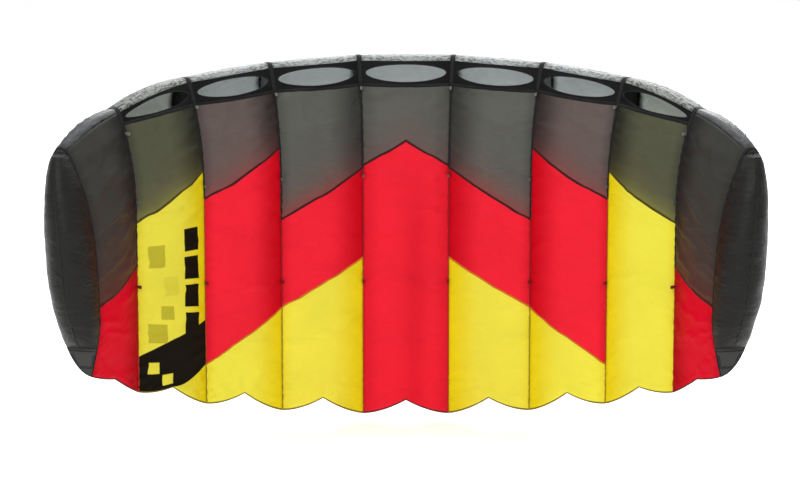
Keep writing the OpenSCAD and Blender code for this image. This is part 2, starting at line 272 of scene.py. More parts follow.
def simulate():
    """All the canopy's panels blown up together: pinned at the ribs, nose and trailing edge, cut 2.5 % over size, pressed outwards."""
    nv, nu = 61, 19
    verts, faces, pins, keys = [], [], [], []
    for k in range(5):
        for sd in (-1, 1):
            if k == 0 and sd < 0:
                continue
            for side in (0, 1):
                s = np.linspace(0, 1, nv)
                u = np.linspace(0, 1, nu)
                qs = np.where(s < 1e-6, 1e-6, s) * (1 if side else -1)
                g = base_surface(k, sd, qs[:, None], u[None, :], 0.3)
                g = g + (np.where(qs < 0, -1.0, 1.0)[:, None] * 0.5 * crease(k, sd, qs[:, None], u[None, :]))[..., None] * nrm(CELL_ROLL[k], sd)
                start = len(verts)
                verts.extend((g.reshape(-1, 3) / 1000).tolist())
                idx = np.arange(nv * nu).reshape(nv, nu) + start
                flip = (sd > 0) == (side == 0)
                for a in range(nv - 1):
                    for b in range(nu - 1):
                        f = (int(idx[a, b]), int(idx[a + 1, b]), int(idx[a + 1, b + 1]), int(idx[a, b + 1]))
                        faces.append(f[::-1] if flip else f)
                fixed = np.zeros((nv, nu), bool)
                fixed[:, 0] = fixed[:, -1] = True
                fixed[: 5 if side == 0 else 3] = True
                fixed[-1] = True
                pins.extend((start + np.nonzero(fixed.ravel())[0]).tolist())
                keys.append(((k, sd, side), start, g))
    mesh = bpy.data.meshes.new("sim_cloth")
    mesh.from_pydata(verts, [], faces)
    mesh.update()
    ob = bpy.data.objects.new("sim_cloth", mesh)
    SCENE.collection.objects.link(ob)
    # outward normals: each island's faces were turned by its side and half as they were made
    group = ob.vertex_groups.new(name="pin")
    group.add(pins, 1.0, "REPLACE")
    mod = ob.modifiers.new("cloth", "CLOTH")
    st = mod.settings
    st.quality = 6
    st.mass = 0.08
    st.tension_stiffness = st.compression_stiffness = 12
    st.shear_stiffness = 6
    st.bending_stiffness = 0.12
    st.tension_damping = st.compression_damping = 8
    st.air_damping = 4
    st.shrink_min = -0.025
    st.vertex_group_mass = "pin"
    st.pin_stiffness = 1.0
    st.effector_weights.gravity = 0
    st.use_pressure = True
    st.uniform_pressure_force = 1.6
    mod.collision_settings.use_collision = False
    mod.collision_settings.use_self_collision = False
    mod.point_cache.frame_start, mod.point_cache.frame_end = 1, 26
    for f in range(1, 27):
        SCENE.frame_set(f)
    dg = bpy.context.evaluated_depsgraph_get()
    ev = ob.evaluated_get(dg)
    co = np.zeros(len(ev.data.vertices) * 3, np.float32)
    ev.data.vertices.foreach_get("co", co)
    co = co.reshape(-1, 3).astype(float) * 1000
    for key, start, g in keys:
        k, sd, side = key
        d = co[start:start + nv * nu].reshape(nv, nu, 3) - base_surface(k, sd, (np.maximum(np.linspace(0, 1, nv), 1e-6) * (1 if side else -1))[:, None], np.linspace(0, 1, nu)[None, :], 0.3)
        d = np.nan_to_num(d)
        # the swelling itself is in the CAD shape: keep the creases, take out the mean crown of each cell
        n = nrm(CELL_ROLL[k], sd)
        along = d @ n
        kern = np.ones(9) / 9
        padded = np.pad(along, ((4, 4), (0, 0)), mode="edge")
        base = np.stack([np.convolve(padded[:, j], kern, mode="valid") for j in range(nu)], 1)
        d = d + ((-0.85 * base))[..., None] * n
        ln = np.linalg.norm(d, axis=2, keepdims=True)
        cap = 7.0
        d = d * np.where(ln > cap, cap / np.maximum(ln, 1e-9), 1.0)
        fade = c01(np.linspace(0, 1, nv) / 0.06)[:, None] * c01((1 - np.linspace(0, 1, nv)) / 0.02)[:, None]
        d = d * fade[..., None]
        SIM[key] = d
        if k == 0:
            SIM[0, -1, side] = d
    bpy.data.objects.remove(ob)
    SCENE.frame_set(1)


simulate()


# ------------------------------------------------------------------ node helpers
class Nodes:
    def __init__(self, name):
        self.mat = bpy.data.materials.new(name)
        self.mat.use_nodes = True
        self.t = self.mat.node_tree
        for n in list(self.t.nodes):
            self.t.nodes.remove(n)
        self.out = self.t.nodes.new("ShaderNodeOutputMaterial")

    def n(self, kind, **props):
        node = self.t.nodes.new(kind)
        for k, v in props.items():
            setattr(node, k, v)
        return node

    def put(self, sock, v):
        if isinstance(v, bpy.types.NodeSocket):
            self.t.links.new(v, sock)
        elif v is not None:
            sock.default_value = v

    def math(self, op, a, b=None, c=None, clamp=False):
        m = self.n("ShaderNodeMath", operation=op, use_clamp=clamp)
        for i, v in enumerate((a, b, c)):
            if v is not None:
                self.put(m.inputs[i], v)
        return m.outputs[0]

    def mixc(self, fac, a, b, blend="MIX"):
        m = self.n("ShaderNodeMix", data_type="RGBA", blend_type=blend)
        self.put(m.inputs[0], fac)
        self.put(m.inputs[6], a)
        self.put(m.inputs[7], b)
        return m.outputs[2]

    def noise(self, vec, scale, detail=3.0, rough=0.55, distort=0.0):
        m = self.n("ShaderNodeTexNoise")
        self.put(m.inputs["Vector"], vec)
        m.inputs["Scale"].default_value = scale
        m.inputs["Detail"].default_value = detail
        m.inputs["Roughness"].default_value = rough
        m.inputs["Distortion"].default_value = distort
        return m.outputs["Fac"]

    def ramp(self, fac, lo, hi):
        m = self.n("ShaderNodeMapRange", interpolation_type="SMOOTHSTEP")
        self.put(m.inputs[0], fac)
        m.inputs[1].default_value, m.inputs[2].default_value = lo, hi
        return m.outputs[0]


def rgb(h):
    v = [int(h[i:i + 2], 16) / 255 for i in (1, 3, 5)]
    return tuple((x / 12.92 if x <= 0.04045 else ((x + 0.055) / 1.055) ** 2.4) for x in v) + (1.0,)


def ripstop(m, xy, pitch, sharp):
    """1 on the thicker threads of a ripstop grid, 0 between them."""
    got = []
    for i in (0, 1):
        v = m.math("MULTIPLY", xy.outputs[i], 1 / pitch)
        v = m.math("FRACT", v)
        v = m.math("ABSOLUTE", m.math("SUBTRACT", v, 0.5))
        v = m.math("MULTIPLY", v, 2.0)
        got.append(m.math("POWER", v, sharp))
    return m.math("MAXIMUM", got[0], got[1])


def cloth(name, dark, bright, rough=0.46, through=0.34, grid=0.10, crinkle=1.0, painted_crease_shadow=0.0, sheen=0.03, painted_backlight_tint=None, spec=0.16, printed=False, face=1.0, fleck=0.22):
    """Coated ripstop: thread grid, weave, crinkle, and painted light and shade: the lighter middle and darker sides of
    each filled cell (mesh value lit), and, where asked, a painted backlight tint (mesh value glow) and painted crease
    shadows.
    """
    m = Nodes(name)
    uv = m.n("ShaderNodeUVMap", uv_map="cut")
    xy = m.n("ShaderNodeSeparateXYZ")
    m.put(xy.inputs[0], uv.outputs[0])
    tc = m.n("ShaderNodeTexCoord")
    obj = tc.outputs["Object"]
    lit = m.n("ShaderNodeAttribute", attribute_name="lit")
    rip = ripstop(m, xy, 0.0052, 9.0)
    # crinkle: folded-cloth creases, stretched across the span
    mp = m.n("ShaderNodeMapping")
    m.put(mp.inputs["Vector"], uv.outputs[0])
    mp.inputs["Scale"].default_value = (0.8, 2.2, 1.0)
    big = m.noise(mp.outputs[0], 7.0, 4.0, 0.6, 0.8)
    small = m.noise(mp.outputs[0], 34.0, 5.0, 0.62, 0.5)
    blotch = m.noise(obj, 5.0, 2.0, 0.5, 0.2)
    weave = m.math("MULTIPLY", m.math("SINE", m.math("MULTIPLY", xy.outputs[0], 2 * math.pi / 0.0009)), m.math("SINE", m.math("MULTIPLY", xy.outputs[1], 2 * math.pi / 0.0009)))
    # painted light and shade: the colour runs from dark to bright by mesh value lit
    col = m.mixc(lit.outputs["Fac"], dark, bright)
    # painted backlight: where mesh value glow is set, the colour of light shone through coloured cloth is mixed in
    if painted_backlight_tint is not None:
        glow = m.n("ShaderNodeAttribute", attribute_name="glow")
        col = m.mixc(glow.outputs["Fac"], col, painted_backlight_tint)
    shade = m.math("ADD", m.math("MULTIPLY", blotch, 0.16), 0.92)
    shade = m.math("ADD", shade, m.math("MULTIPLY", m.math("SUBTRACT", small, 0.5), fleck))
    shade = m.math("SUBTRACT", shade, m.math("MULTIPLY", rip, grid))
    if printed:
        col = m.mixc(print_mask(m), col, rgb("#17130B"))
        col = m.mixc(square_mask(m), col, rgb("#A39A1E"))
    comb = m.n("ShaderNodeCombineXYZ")
    for i in range(3):
        m.put(comb.inputs[i], shade)
    col = m.mixc(1.0, col, comb.outputs[0], "MULTIPLY")
    # painted shade: dark crease shadows mixed into the colour, placed by mesh value glow
    if painted_crease_shadow:
        sp = m.noise(mp.outputs[0], 60.0, 6.0, 0.75, 1.2)
        sp = m.math("MULTIPLY", m.ramp(sp, 0.48, 0.57), m.n("ShaderNodeAttribute", attribute_name="glow").outputs["Fac"])
        col = m.mixc(m.math("MULTIPLY", sp, painted_crease_shadow), col, (0.020, 0.022, 0.022, 1))
    bsdf = m.n("ShaderNodeBsdfPrincipled")
    # painted shade: face darkens the reflected colour of upper-side cloth, which gets the strongest light; light
    # passing through keeps the full colour
    m.put(bsdf.inputs["Base Color"], col if face == 1.0 else m.mixc(1.0, col, (face, face, face, 1), "MULTIPLY"))
    m.put(bsdf.inputs["Roughness"], m.math("ADD", m.math("MULTIPLY", small, 0.22), rough - 0.11))
    bsdf.inputs["Sheen Weight"].default_value = sheen
    bsdf.inputs["Sheen Roughness"].default_value = 0.35
    bsdf.inputs["Specular IOR Level"].default_value = spec
    h = m.math("ADD", m.math("MULTIPLY", big, 1.6 * crinkle), m.math("MULTIPLY", small, 0.7 * crinkle))
    h = m.math("ADD", h, m.math("MULTIPLY", rip, 0.05))
    h = m.math("ADD", h, m.math("MULTIPLY", weave, 0.012))
    bump = m.n("ShaderNodeBump")
    bump.inputs["Strength"].default_value = 0.55
    bump.inputs["Distance"].default_value = 0.0022
    m.put(bump.inputs["Height"], h)
    m.put(bsdf.inputs["Normal"], bump.outputs[0])
    if through:
        tr = m.n("ShaderNodeBsdfTranslucent")
        m.put(tr.inputs["Color"], col)
        m.put(tr.inputs["Normal"], bump.outputs[0])
        mx = m.n("ShaderNodeMixShader")
        mx.inputs[0].default_value = through
        m.put(mx.inputs[1], bsdf.outputs[0])
        m.put(mx.inputs[2], tr.outputs[0])
        m.put(m.out.inputs[0], mx.outputs[0])
    else:
        m.put(m.out.inputs[0], bsdf.outputs[0])
    return m.mat


def between(m, v, lo, hi, soft=0.0012):
    a = m.ramp(v, lo - soft, lo + soft)
    b = m.ramp(v, hi - soft, hi + soft)
    return m.math("MULTIPLY", a, m.math("SUBTRACT", 1.0, b))


def place_of(m):
    """Where a point lies on its cell: (share across the cell, share of the chord from the nose)."""
    return m.n("ShaderNodeAttribute", attribute_name="pu").outputs["Fac"], m.n("ShaderNodeAttribute", attribute_name="ps").outputs["Fac"]


def print_mask(m):
    """Plain black print of the left yellow panel: a slanting band at the rear and a row of blocks before it."""
    u, s = place_of(m)
    top = m.math("SUBTRACT", s, m.math("MULTIPLY", u, 0.137))
    low = m.math("SUBTRACT", s, m.math("MULTIPLY", u, 0.245))
    band = m.math("MULTIPLY", m.ramp(top, 0.7338, 0.7362), m.math("SUBTRACT", 1.0, m.ramp(low, 0.8738, 0.8762)))
    blocks = None
    for lo, hi in ((0.440, 0.512), (0.530, 0.602), (0.620, 0.692), (0.710, 0.782)):
        b = between(m, s, lo, hi)
        blocks = b if blocks is None else m.math("MAXIMUM", blocks, b)
    solid = m.math("MAXIMUM", band, m.math("MULTIPLY", between(m, u, 0.115, 0.335, 0.004), blocks))
    # two plain squares are left free on the band
    one = m.math("MULTIPLY", between(m, u, 0.700, 0.860, 0.004), between(m, s, 0.890, 0.932))
    two = m.math("MULTIPLY", between(m, u, 0.500, 0.660, 0.004), between(m, s, 0.938, 0.980))
    cut = m.math("MAXIMUM", one, two)
    return m.math("MULTIPLY", solid, m.math("SUBTRACT", 1.0, cut))


def square_mask(m):
    u, s = place_of(m)
    a = m.math("MULTIPLY", between(m, u, 0.620, 0.845, 0.004), between(m, s, 0.482, 0.557))
    b = m.math("MULTIPLY", between(m, u, 0.500, 0.680, 0.004), between(m, s, 0.690, 0.735))
    c = m.math("MULTIPLY", between(m, u, 0.600, 0.860, 0.004), between(m, s, 0.752, 0.820))
    d = m.math("MULTIPLY", between(m, u, 0.440, 0.640, 0.004), between(m, s, 0.590, 0.655))
    return m.math("ADD", m.math("MULTIPLY", m.math("MAXIMUM", a, m.math("MAXIMUM", b, c)), 0.62), m.math("MULTIPLY", d, 0.16))


def tape(name, rows, thread, rough=0.6, pitch=0.0032, weave=0.0011, fallback=None, through=0.0):
    """Seam or webbing tape: colour from the mesh ("dye"), herringbone weave, rows of lockstitch at the given places across it (m)."""
    m = Nodes(name)
    uv = m.n("ShaderNodeUVMap", uv_map="cut")
    xy = m.n("ShaderNodeSeparateXYZ")
    m.put(xy.inputs[0], uv.outputs[0])
    dye = m.n("ShaderNodeAttribute", attribute_name="dye")
    base = dye.outputs["Color"] if fallback is None else fallback
    along = m.math("MULTIPLY", xy.outputs[1], 1 / weave)
    zig = m.math("ABSOLUTE", m.math("SUBTRACT", m.math("FRACT", m.math("MULTIPLY", xy.outputs[0], 1 / 0.0034)), 0.5))
    rib = m.math("SINE", m.math("MULTIPLY", m.math("ADD", along, m.math("MULTIPLY", zig, 2.0)), 2 * math.pi))
    shade = m.math("ADD", m.math("MULTIPLY", rib, 0.07), 0.95)
    comb = m.n("ShaderNodeCombineXYZ")
    for i in range(3):
        m.put(comb.inputs[i], shade)
    col = m.mixc(1.0, base, comb.outputs[0], "MULTIPLY")
    mask = None
    for r in rows:
        near = m.math("ABSOLUTE", m.math("SUBTRACT", xy.outputs[0], r))
        near = m.math("LESS_THAN", near, 0.00042)
        mask = near if mask is None else m.math("MAXIMUM", mask, near)
    h = m.math("MULTIPLY", rib, 0.25)
    if mask is not None:
        dash = m.math("LESS_THAN", m.math("FRACT", m.math("MULTIPLY", xy.outputs[1], 1 / pitch)), 0.76)
        mask = m.math("MULTIPLY", mask, dash)
        col = m.mixc(mask, col, thread)
        h = m.math("ADD", h, m.math("MULTIPLY", mask, 0.8))
    bsdf = m.n("ShaderNodeBsdfPrincipled")
    m.put(bsdf.inputs["Base Color"], col)
    m.put(bsdf.inputs["Roughness"], m.math("ADD", m.math("MULTIPLY", rib, 0.05), rough))
    bsdf.inputs["Sheen Weight"].default_value = 0.03
    bsdf.inputs["Specular IOR Level"].default_value = 0.12
    bump = m.n("ShaderNodeBump")
    bump.inputs["Strength"].default_value = 0.6
    bump.inputs["Distance"].default_value = 0.0004
    m.put(bump.inputs["Height"], h)
    m.put(bsdf.inputs["Normal"], bump.outputs[0])
    m.put(m.out.inputs[0], bsdf.outputs[0])
    return m.mat


MAT = {
    "red": cloth("ripstop_red", rgb("#D20018"), rgb("#F6283C"), through=0.34, grid=0.06, crinkle=0.8, spec=0.05, sheen=0.0, fleck=0.10),
    "red_tip": cloth("ripstop_red_tip", rgb("#AC0014"), rgb("#DA0A28"), through=0.24, grid=0.06, crinkle=0.9, spec=0.05, sheen=0.0, fleck=0.12),
    "yellow": cloth("ripstop_yellow", rgb("#F0DC00"), rgb("#F4EE50"), through=0.34, grid=0.05, crinkle=0.6, spec=0.05, sheen=0.0, fleck=0.07),
    "yellow_print": cloth("ripstop_yellow_printed", rgb("#E4D000"), rgb("#EAE24A"), through=0.28, grid=0.05, crinkle=0.6, spec=0.05, sheen=0.0, printed=True, fleck=0.07),
    # the grey cloths take a painted backlight tint, the last colour given, where mesh value glow is set
    "grey": cloth("ripstop_grey", rgb("#2E2E2C"), rgb("#5C5D57"), through=0.24, grid=0.12, painted_backlight_tint=rgb("#963A38")),
    "grey_painted_red_backlight": cloth("ripstop_grey_warm", rgb("#241E1E"), rgb("#645854"), through=0.24, grid=0.12, painted_backlight_tint=rgb("#924442")),
    "grey_painted_yellow_backlight": cloth("ripstop_grey_olive", rgb("#1C1E18"), rgb("#545542"), through=0.24, grid=0.12, painted_backlight_tint=rgb("#84823E")),
    "grey_dark": cloth("ripstop_grey_dark", rgb("#181918"), rgb("#363632"), through=0.14, grid=0.10, painted_backlight_tint=rgb("#5A2A26")),
    # upper-side cloths (pale, red_top, yellow_top, nose, nose_mid) are darker copies by face: painted shade for the
    # strongly lit upper side
    "pale": cloth("ripstop_pale", rgb("#C2C9C8"), rgb("#E0E5E4"), through=0.44, grid=0.04, crinkle=1.8, face=0.70),
    "red_top": cloth("ripstop_red_upper", rgb("#D20018"), rgb("#FF263C"), through=0.34, grid=0.06, crinkle=1.6, spec=0.08, sheen=0.0, face=0.74),
    "yellow_top": cloth("ripstop_yellow_upper", rgb("#EAD800"), rgb("#F4EC44"), through=0.34, grid=0.05, crinkle=1.6, spec=0.08, sheen=0.0, face=0.80),
    # nose cloths carry painted dark crease shadows; their strength is set per cloth below
    "nose": cloth("ripstop_nose", rgb("#6A7073"), rgb("#DADFDF"), rough=0.34, through=0.46, grid=0.05, crinkle=4.6, painted_crease_shadow=0.82, sheen=0.05, spec=0.4, face=0.74),
    "nose_mid": cloth("ripstop_nose_mid", rgb("#565B5D"), rgb("#D6DBD6"), rough=0.34, through=0.46, grid=0.05, crinkle=5.0, painted_crease_shadow=1.0, sheen=0.05, spec=0.4, face=0.66),
    "nose_grey": cloth("ripstop_nose_grey", rgb("#1A1C1D"), rgb("#3E4244"), rough=0.32, through=0.2, grid=0.06, crinkle=3.6, painted_crease_shadow=0.92, sheen=0.05, spec=0.4),
    "black": cloth("ripstop_black", rgb("#080908"), rgb("#0F1110"), rough=0.48, through=0.0, grid=0.12, crinkle=1.4, spec=0.08),
    "pod": cloth("ripstop_pod", rgb("#0C0C0B"), rgb("#151513"), rough=0.38, through=0.0, grid=0.12, crinkle=3.6, spec=0.20),
    "corner": cloth("ripstop_corner", rgb("#232322"), rgb("#3A3A37"), rough=0.42, through=0.1, grid=0.10, crinkle=2.0, spec=0.25),
    "rib_pale": cloth("ripstop_rib_pale", rgb("#8E9494"), rgb("#A8AEAE"), rough=0.55, through=0.30, grid=0.06, crinkle=0.8),
    "rib": cloth("ripstop_rib", rgb("#1F2222"), rgb("#303333"), rough=0.55, through=0.10, grid=0.10, crinkle=0.8),
    "seam": tape("seam_tape", (-0.0020, 0.0020), (0.02, 0.02, 0.02, 1)),
    "rib_seam": tape("rib_seam_tape", (-0.0022, 0.0022), (0.04, 0.04, 0.04, 1)),
    "hem": tape("hem_tape", (0.0020,), (0.05, 0.05, 0.04, 1)),
    "bias": tape("bias_tape", (0.0028,), (0.06, 0.06, 0.06, 1)),
    "webbing": tape("loop_webbing", (), (0.9, 0.9, 0.9, 1), fallback=rgb("#6C6C69")),
    "webbing_mid": tape("loop_webbing_grey", (), (0.9, 0.9, 0.9, 1), fallback=rgb("#545250")),
    "webbing_dark": tape("loop_webbing_dark_red", (), (0.9, 0.9, 0.9, 1), fallback=rgb("#6E141E")),
}
DYE = {"grey": rgb("#585D58"), "red": rgb("#E0102C"), "yellow": rgb("#E6D520"), "black": rgb("#1E2122"), "pale": rgb("#C4CACC"), "nose": rgb("#B8BEC0")}


# ------------------------------------------------------------------ mesh making
def new_object(name, verts_mm, faces, mat, smooth_faces=True):
    mesh = bpy.data.meshes.new(name)
    mesh.from_pydata((np.asarray(verts_mm, float) / 1000).tolist(), [], faces)
    mesh.polygons.foreach_set("use_smooth", [smooth_faces] * len(mesh.polygons))
    mesh.materials.append(mat)
    ob = bpy.data.objects.new(name, mesh)
    SCENE.collection.objects.link(ob)
    return ob


def set_value(ob, name, values):
    a = ob.data.attributes.new(name, "FLOAT", "POINT")
    a.data.foreach_set("value", np.asarray(values, np.float32).ravel())


def set_colour(ob, name, values):
    a = ob.data.attributes.new(name, "FLOAT_COLOR", "POINT")
    a.data.foreach_set("color", np.asarray(values, np.float32).reshape(-1, 4).ravel())


def set_uv(ob, uv):
    layer = ob.data.uv_layers.new(name="cut")
    loops = np.zeros(len(ob.data.loops), np.int32)
    ob.data.loops.foreach_get("vertex_index", loops)
    layer.data.foreach_set("uv", np.asarray(uv, np.float32)[loops].ravel())


def thicken(ob, mm, offset=0.0):
    mod = ob.modifiers.new("thickness", "SOLIDIFY")
    mod.thickness = mm / 1000
    mod.offset = offset
    mod.use_even_offset = False
    return mod


def grid_faces(n, m, flip, wrap=False):
    idx = np.arange(n * m).reshape(n, m)
    out = []
    cols = m if wrap else m - 1
    for a in range(n - 1):
        for b in range(cols):
            c = (b + 1) % m
            f = (int(idx[a, b]), int(idx[a + 1, b]), int(idx[a + 1, c]), int(idx[a, c]))
            out.append(f[::-1] if flip else f)
    return out


def measure(g):
    """(width, length, area) in metres of a grid of points g[row, column] in mm."""
    across = np.linalg.norm(np.diff(g, axis=1), axis=2).sum(1)
    along = np.linalg.norm(np.diff(g, axis=0), axis=2).sum(0)
    d1 = g[1:, 1:] - g[:-1, :-1]
    d2 = g[1:, :-1] - g[:-1, 1:]
    area = 0.5 * np.linalg.norm(np.cross(d1, d2), axis=2).sum()
    return across.max() / 1000, along.max() / 1000, area / 1e6


def declare(ob, w, l, area):
    w, l = max(w, 0.0101), max(l, 0.0101)
    area = min(area, w * l)
    area = max(area, 0.301 * w * l)


def grid_uv(g):
    """Cut-pattern coordinates in metres: arc length across and along."""
    across = np.linalg.norm(np.diff(g, axis=1), axis=2)
    along = np.linalg.norm(np.diff(g, axis=0), axis=2)
    x = np.concatenate([np.zeros((g.shape[0], 1)), np.cumsum(across, 1)], 1)
    x = x - x[:, g.shape[1] // 2][:, None]
    y = np.concatenate([np.zeros((1, g.shape[1])), np.cumsum(along, 0)], 0)
    return np.stack([x, y], 2).reshape(-1, 2) / 1000


def side_name(sd):
    return "right" if sd > 0 else "left"


def cell_name(k, sd):
    return "centre" if k == 0 else f"{side_name(sd)}_{k}"


def body_name(k, sd):
    return "canopy_centre" if k == 0 else f"canopy_{side_name(sd)}_{k}"


def attach(ob, k):
    """A piece of cell k: on the centre cell's body for the centre cell, otherwise only its transform is baked in."""
    if k == 0:
        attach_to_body(ob, "canopy_centre")
        return ob
    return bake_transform(ob)


def lit_value(k, sd, q, u):
    """Painted light and shade on the filled cloth: full light in the middle of a cell, less beside the ribs, least
    inboard.
    """
    if k == 0:
        v = 0.62 + 0.33 * smooth(np.minimum(u, 1 - u) / 0.22) - 0.30 * np.exp(-(((u - 0.60) / 0.13) ** 2)) * smooth((np.abs(q) - 0.25) / 0.3)
    else:
        v = 0.06 + 0.94 * smooth(u / 0.46) - 0.42 * smooth((u - 0.86) / 0.14)
    return c01(v)


def seam_at(sm, u):
    peak = (sm[2] - sm[0]) * (1 - np.abs(2 * u - 1)) if len(sm) > 2 else 0
    return mix(sm[0], sm[1], u) + peak


def spans(k, q0, q1):
    """Column and row counts for a panel about 8 mm to a row."""
    return 31, max(4, int(abs(q1 - q0) * chord(k, 0.5) / 7.5) + 2)


def panel(name, k, sd, sign, qa, qb, colour, node=None, off=0.3, thick=0.45, glow=None, mat=None):
    """Cloth between two seams given as functions of u (share of chord from the nose)."""
    nu, nv = spans(k, float(np.mean(qa(np.array([0.0, 0.5, 1.0])))), float(np.mean(qb(np.array([0.0, 0.5, 1.0])))))
    u = np.linspace(0, 1, nu)
    # rows evenly spaced from one seam to the other
    t = np.linspace(0, 1, nv)
    a, b = qa(u), qb(u)
    s = a[None, :] * (1 - t[:, None]) + b[None, :] * t[:, None]
    g = surface(k, sd, sign * np.maximum(s, 1e-6), np.broadcast_to(u[None, :], s.shape), off)
    ob = new_object(name, g.reshape(-1, 3), grid_faces(*g.shape[:2], flip=(sd > 0) == (sign < 0)), MAT[mat or colour])
    set_uv(ob, grid_uv(g))
    uu = np.broadcast_to(u[None, :], s.shape)
    # painted light and shade of the cloth colour
    lit = lit_value(k, sd, s, uu)
    set_value(ob, "lit", lit)
    if colour == "yellow_print":
        set_value(ob, "pu", uu)
        set_value(ob, "ps", s)
    # glow: how much painted backlight tint the cloth takes
    set_value(ob, "glow", np.zeros(s.shape) if glow is None else glow(s, uu, b[None, :] - s))
    declare(ob, *measure(g))
    thicken(ob, thick)
    if node:
        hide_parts(node)
    attach(ob, k)
    return ob


def const(v):
    return lambda u: np.full_like(np.asarray(u, float), v)


def lip(k):
    a, b = LIP_AT[max(0, k - 1)], LIP_AT[k]
    return lambda u: mix(a, b, np.asarray(u, float))


def line(sm, shift=0.0):
    return lambda u: seam_at(sm, np.asarray(u, float)) + shift


# underside grey by cell: one grey cloth; the copies for cells 2 and 3 carry painted red and yellow backlight colour in
# their base colours
GREY_OF = ["grey", "grey", "grey_painted_red_backlight", "grey_painted_yellow_backlight", "grey_dark"]


def glow_above(s, u, left):
    """Painted backlight: a tint of the next colour, as light shone through it would give, just in front of the seam."""
    return 0.85 * np.exp(-np.maximum(left, 0) / 0.035) * (0.25 + 0.75 * smooth(u / 0.5))


# Painted backlight tint for the centre cell, weaker.
def glow_centre(s, u, left):
    return 0.22 * np.exp(-np.maximum(left, 0) / 0.045)


# Painted backlight tint for the tip cell, reaching further from the seam.
def glow_low(s, u, left):
    return 0.9 * np.exp(-np.maximum(left, 0) / 0.10)


def seam_strip(name, k, sd, sign, at, width, dye_a, dye_b, off=-0.35, darken=0.45, rows=5, mat="seam"):
    """Lapped colour seam of cell k along at(u), dyed between its two colours and darkened."""
    nu = 31
    u = np.linspace(0, 1, nu)
    half = width / 2 / chord(k, u)
    t = np.linspace(-1, 1, rows)
    s = at(u)[None, :] + t[:, None] * half[None, :]
    g = surface(k, sd, sign * np.clip(s, 1e-6, 1), np.broadcast_to(u[None, :], s.shape), off)
    lift = (1 - t**4)[:, None] * 0.35 * (-1 if sign < 0 else 1)
    g = g + lift[..., None] * nrm(CELL_ROLL[k], sd)
    ob = new_object(name, g.reshape(-1, 3), grid_faces(rows, nu, flip=(sd > 0) == (sign < 0)), MAT[mat])
    run = np.linalg.norm(np.diff(g[rows // 2], axis=0), axis=1)
    y = np.concatenate([[0], np.cumsum(run)]) / 1000
    set_uv(ob, np.stack([np.broadcast_to((t * width / 2000)[:, None], s.shape), np.broadcast_to(y[None, :], s.shape)], 2).reshape(-1, 2))
    c = np.array([*(np.array(dye_a[:3]) * darken), 1.0]) if dye_b is None else np.array([*((np.array(dye_a) * 0.5 + np.array(dye_b) * 0.5)[:3] * darken), 1.0])
    set_colour(ob, "dye", np.broadcast_to(c, (s.size, 4)))
    thicken(ob, 0.4)
    attach(ob, k)
    return ob


# ------------------------------------------------------------------ canopy cells
TOP_SPLIT = {0: [("pale", 0.46)], 1: [("pale", 0.44)], 2: [("pale", 0.24), ("red", 0.70)], 3: [("pale", 0.24)], 4: [("grey_dark", 0.62)]}
TOP_LAST = {0: "red", 1: "red", 2: "yellow", 3: "yellow", 4: "red"}


def nose_top(k, sd):
    """The strip of upper cloth over the nose, from the brow seam round to the upper side."""
    nu = 31
    u = np.linspace(0, 1, nu)
    q = np.concatenate([-(BROW - 0.0003) * np.linspace(1, 0.0, 7) ** 2 - 1e-6, NOSE_END * np.linspace(0.04, 1, 30) ** 2])
    g = np.concatenate([surface(k, sd, q[:7, None], u[None, :], 0.3), surface(k, sd, q[7:, None], u[None, :], 0.3)])
    # short gathers where the strip is eased round the nose
    w = waves(900 + k * 2 + (sd > 0), 8, 9, 24, 0.9)
    d = np.minimum(u, 1 - u)
    lift = (2.3 * w(u[None, :] * CELL_W[k], np.abs(q)[:, None] * RIB_C[k]) * c01(np.abs(q) / 0.01)[:, None] * c01(d / 0.03)[None, :] * (1 - smooth((q - 0.05) / 0.06))[:, None])
    g = g + lift[..., None] * (nrm(CELL_ROLL[k], sd) * 0.6 + np.array([0, 0, 0.8]))
    name = cell_name(k, sd)
    colour = "nose" if k < 3 else ("nose_mid" if k == 3 else "nose_grey")
    ob = new_object(f"cloth_nose_{name}", g.reshape(-1, 3), grid_faces(*g.shape[:2], flip=(sd > 0)), MAT[colour])
    set_uv(ob, grid_uv(g))
    qq, uu = np.broadcast_arrays(q[:, None], u[None, :])
    # painted shade: the nose strip darker beside the ribs
    set_value(ob, "lit", smooth(np.minimum(uu, 1 - uu) / 0.07))
    # mesh value glow here places the painted crease shadows: along the nose edge, stronger beside the ribs
    beside = np.exp(-np.minimum(uu, 1 - uu) / 0.10)
    set_value(ob, "glow", c01((0.80 + 0.9 * beside) * (1 - smooth((qq - 0.003) / 0.013)) + 0.5 * np.exp(-(((qq + 0.004) / 0.004) ** 2))))
    declare(ob, *measure(g))
    thicken(ob, 0.45)
    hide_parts(f"top_skin_{name}")
    attach(ob, k)


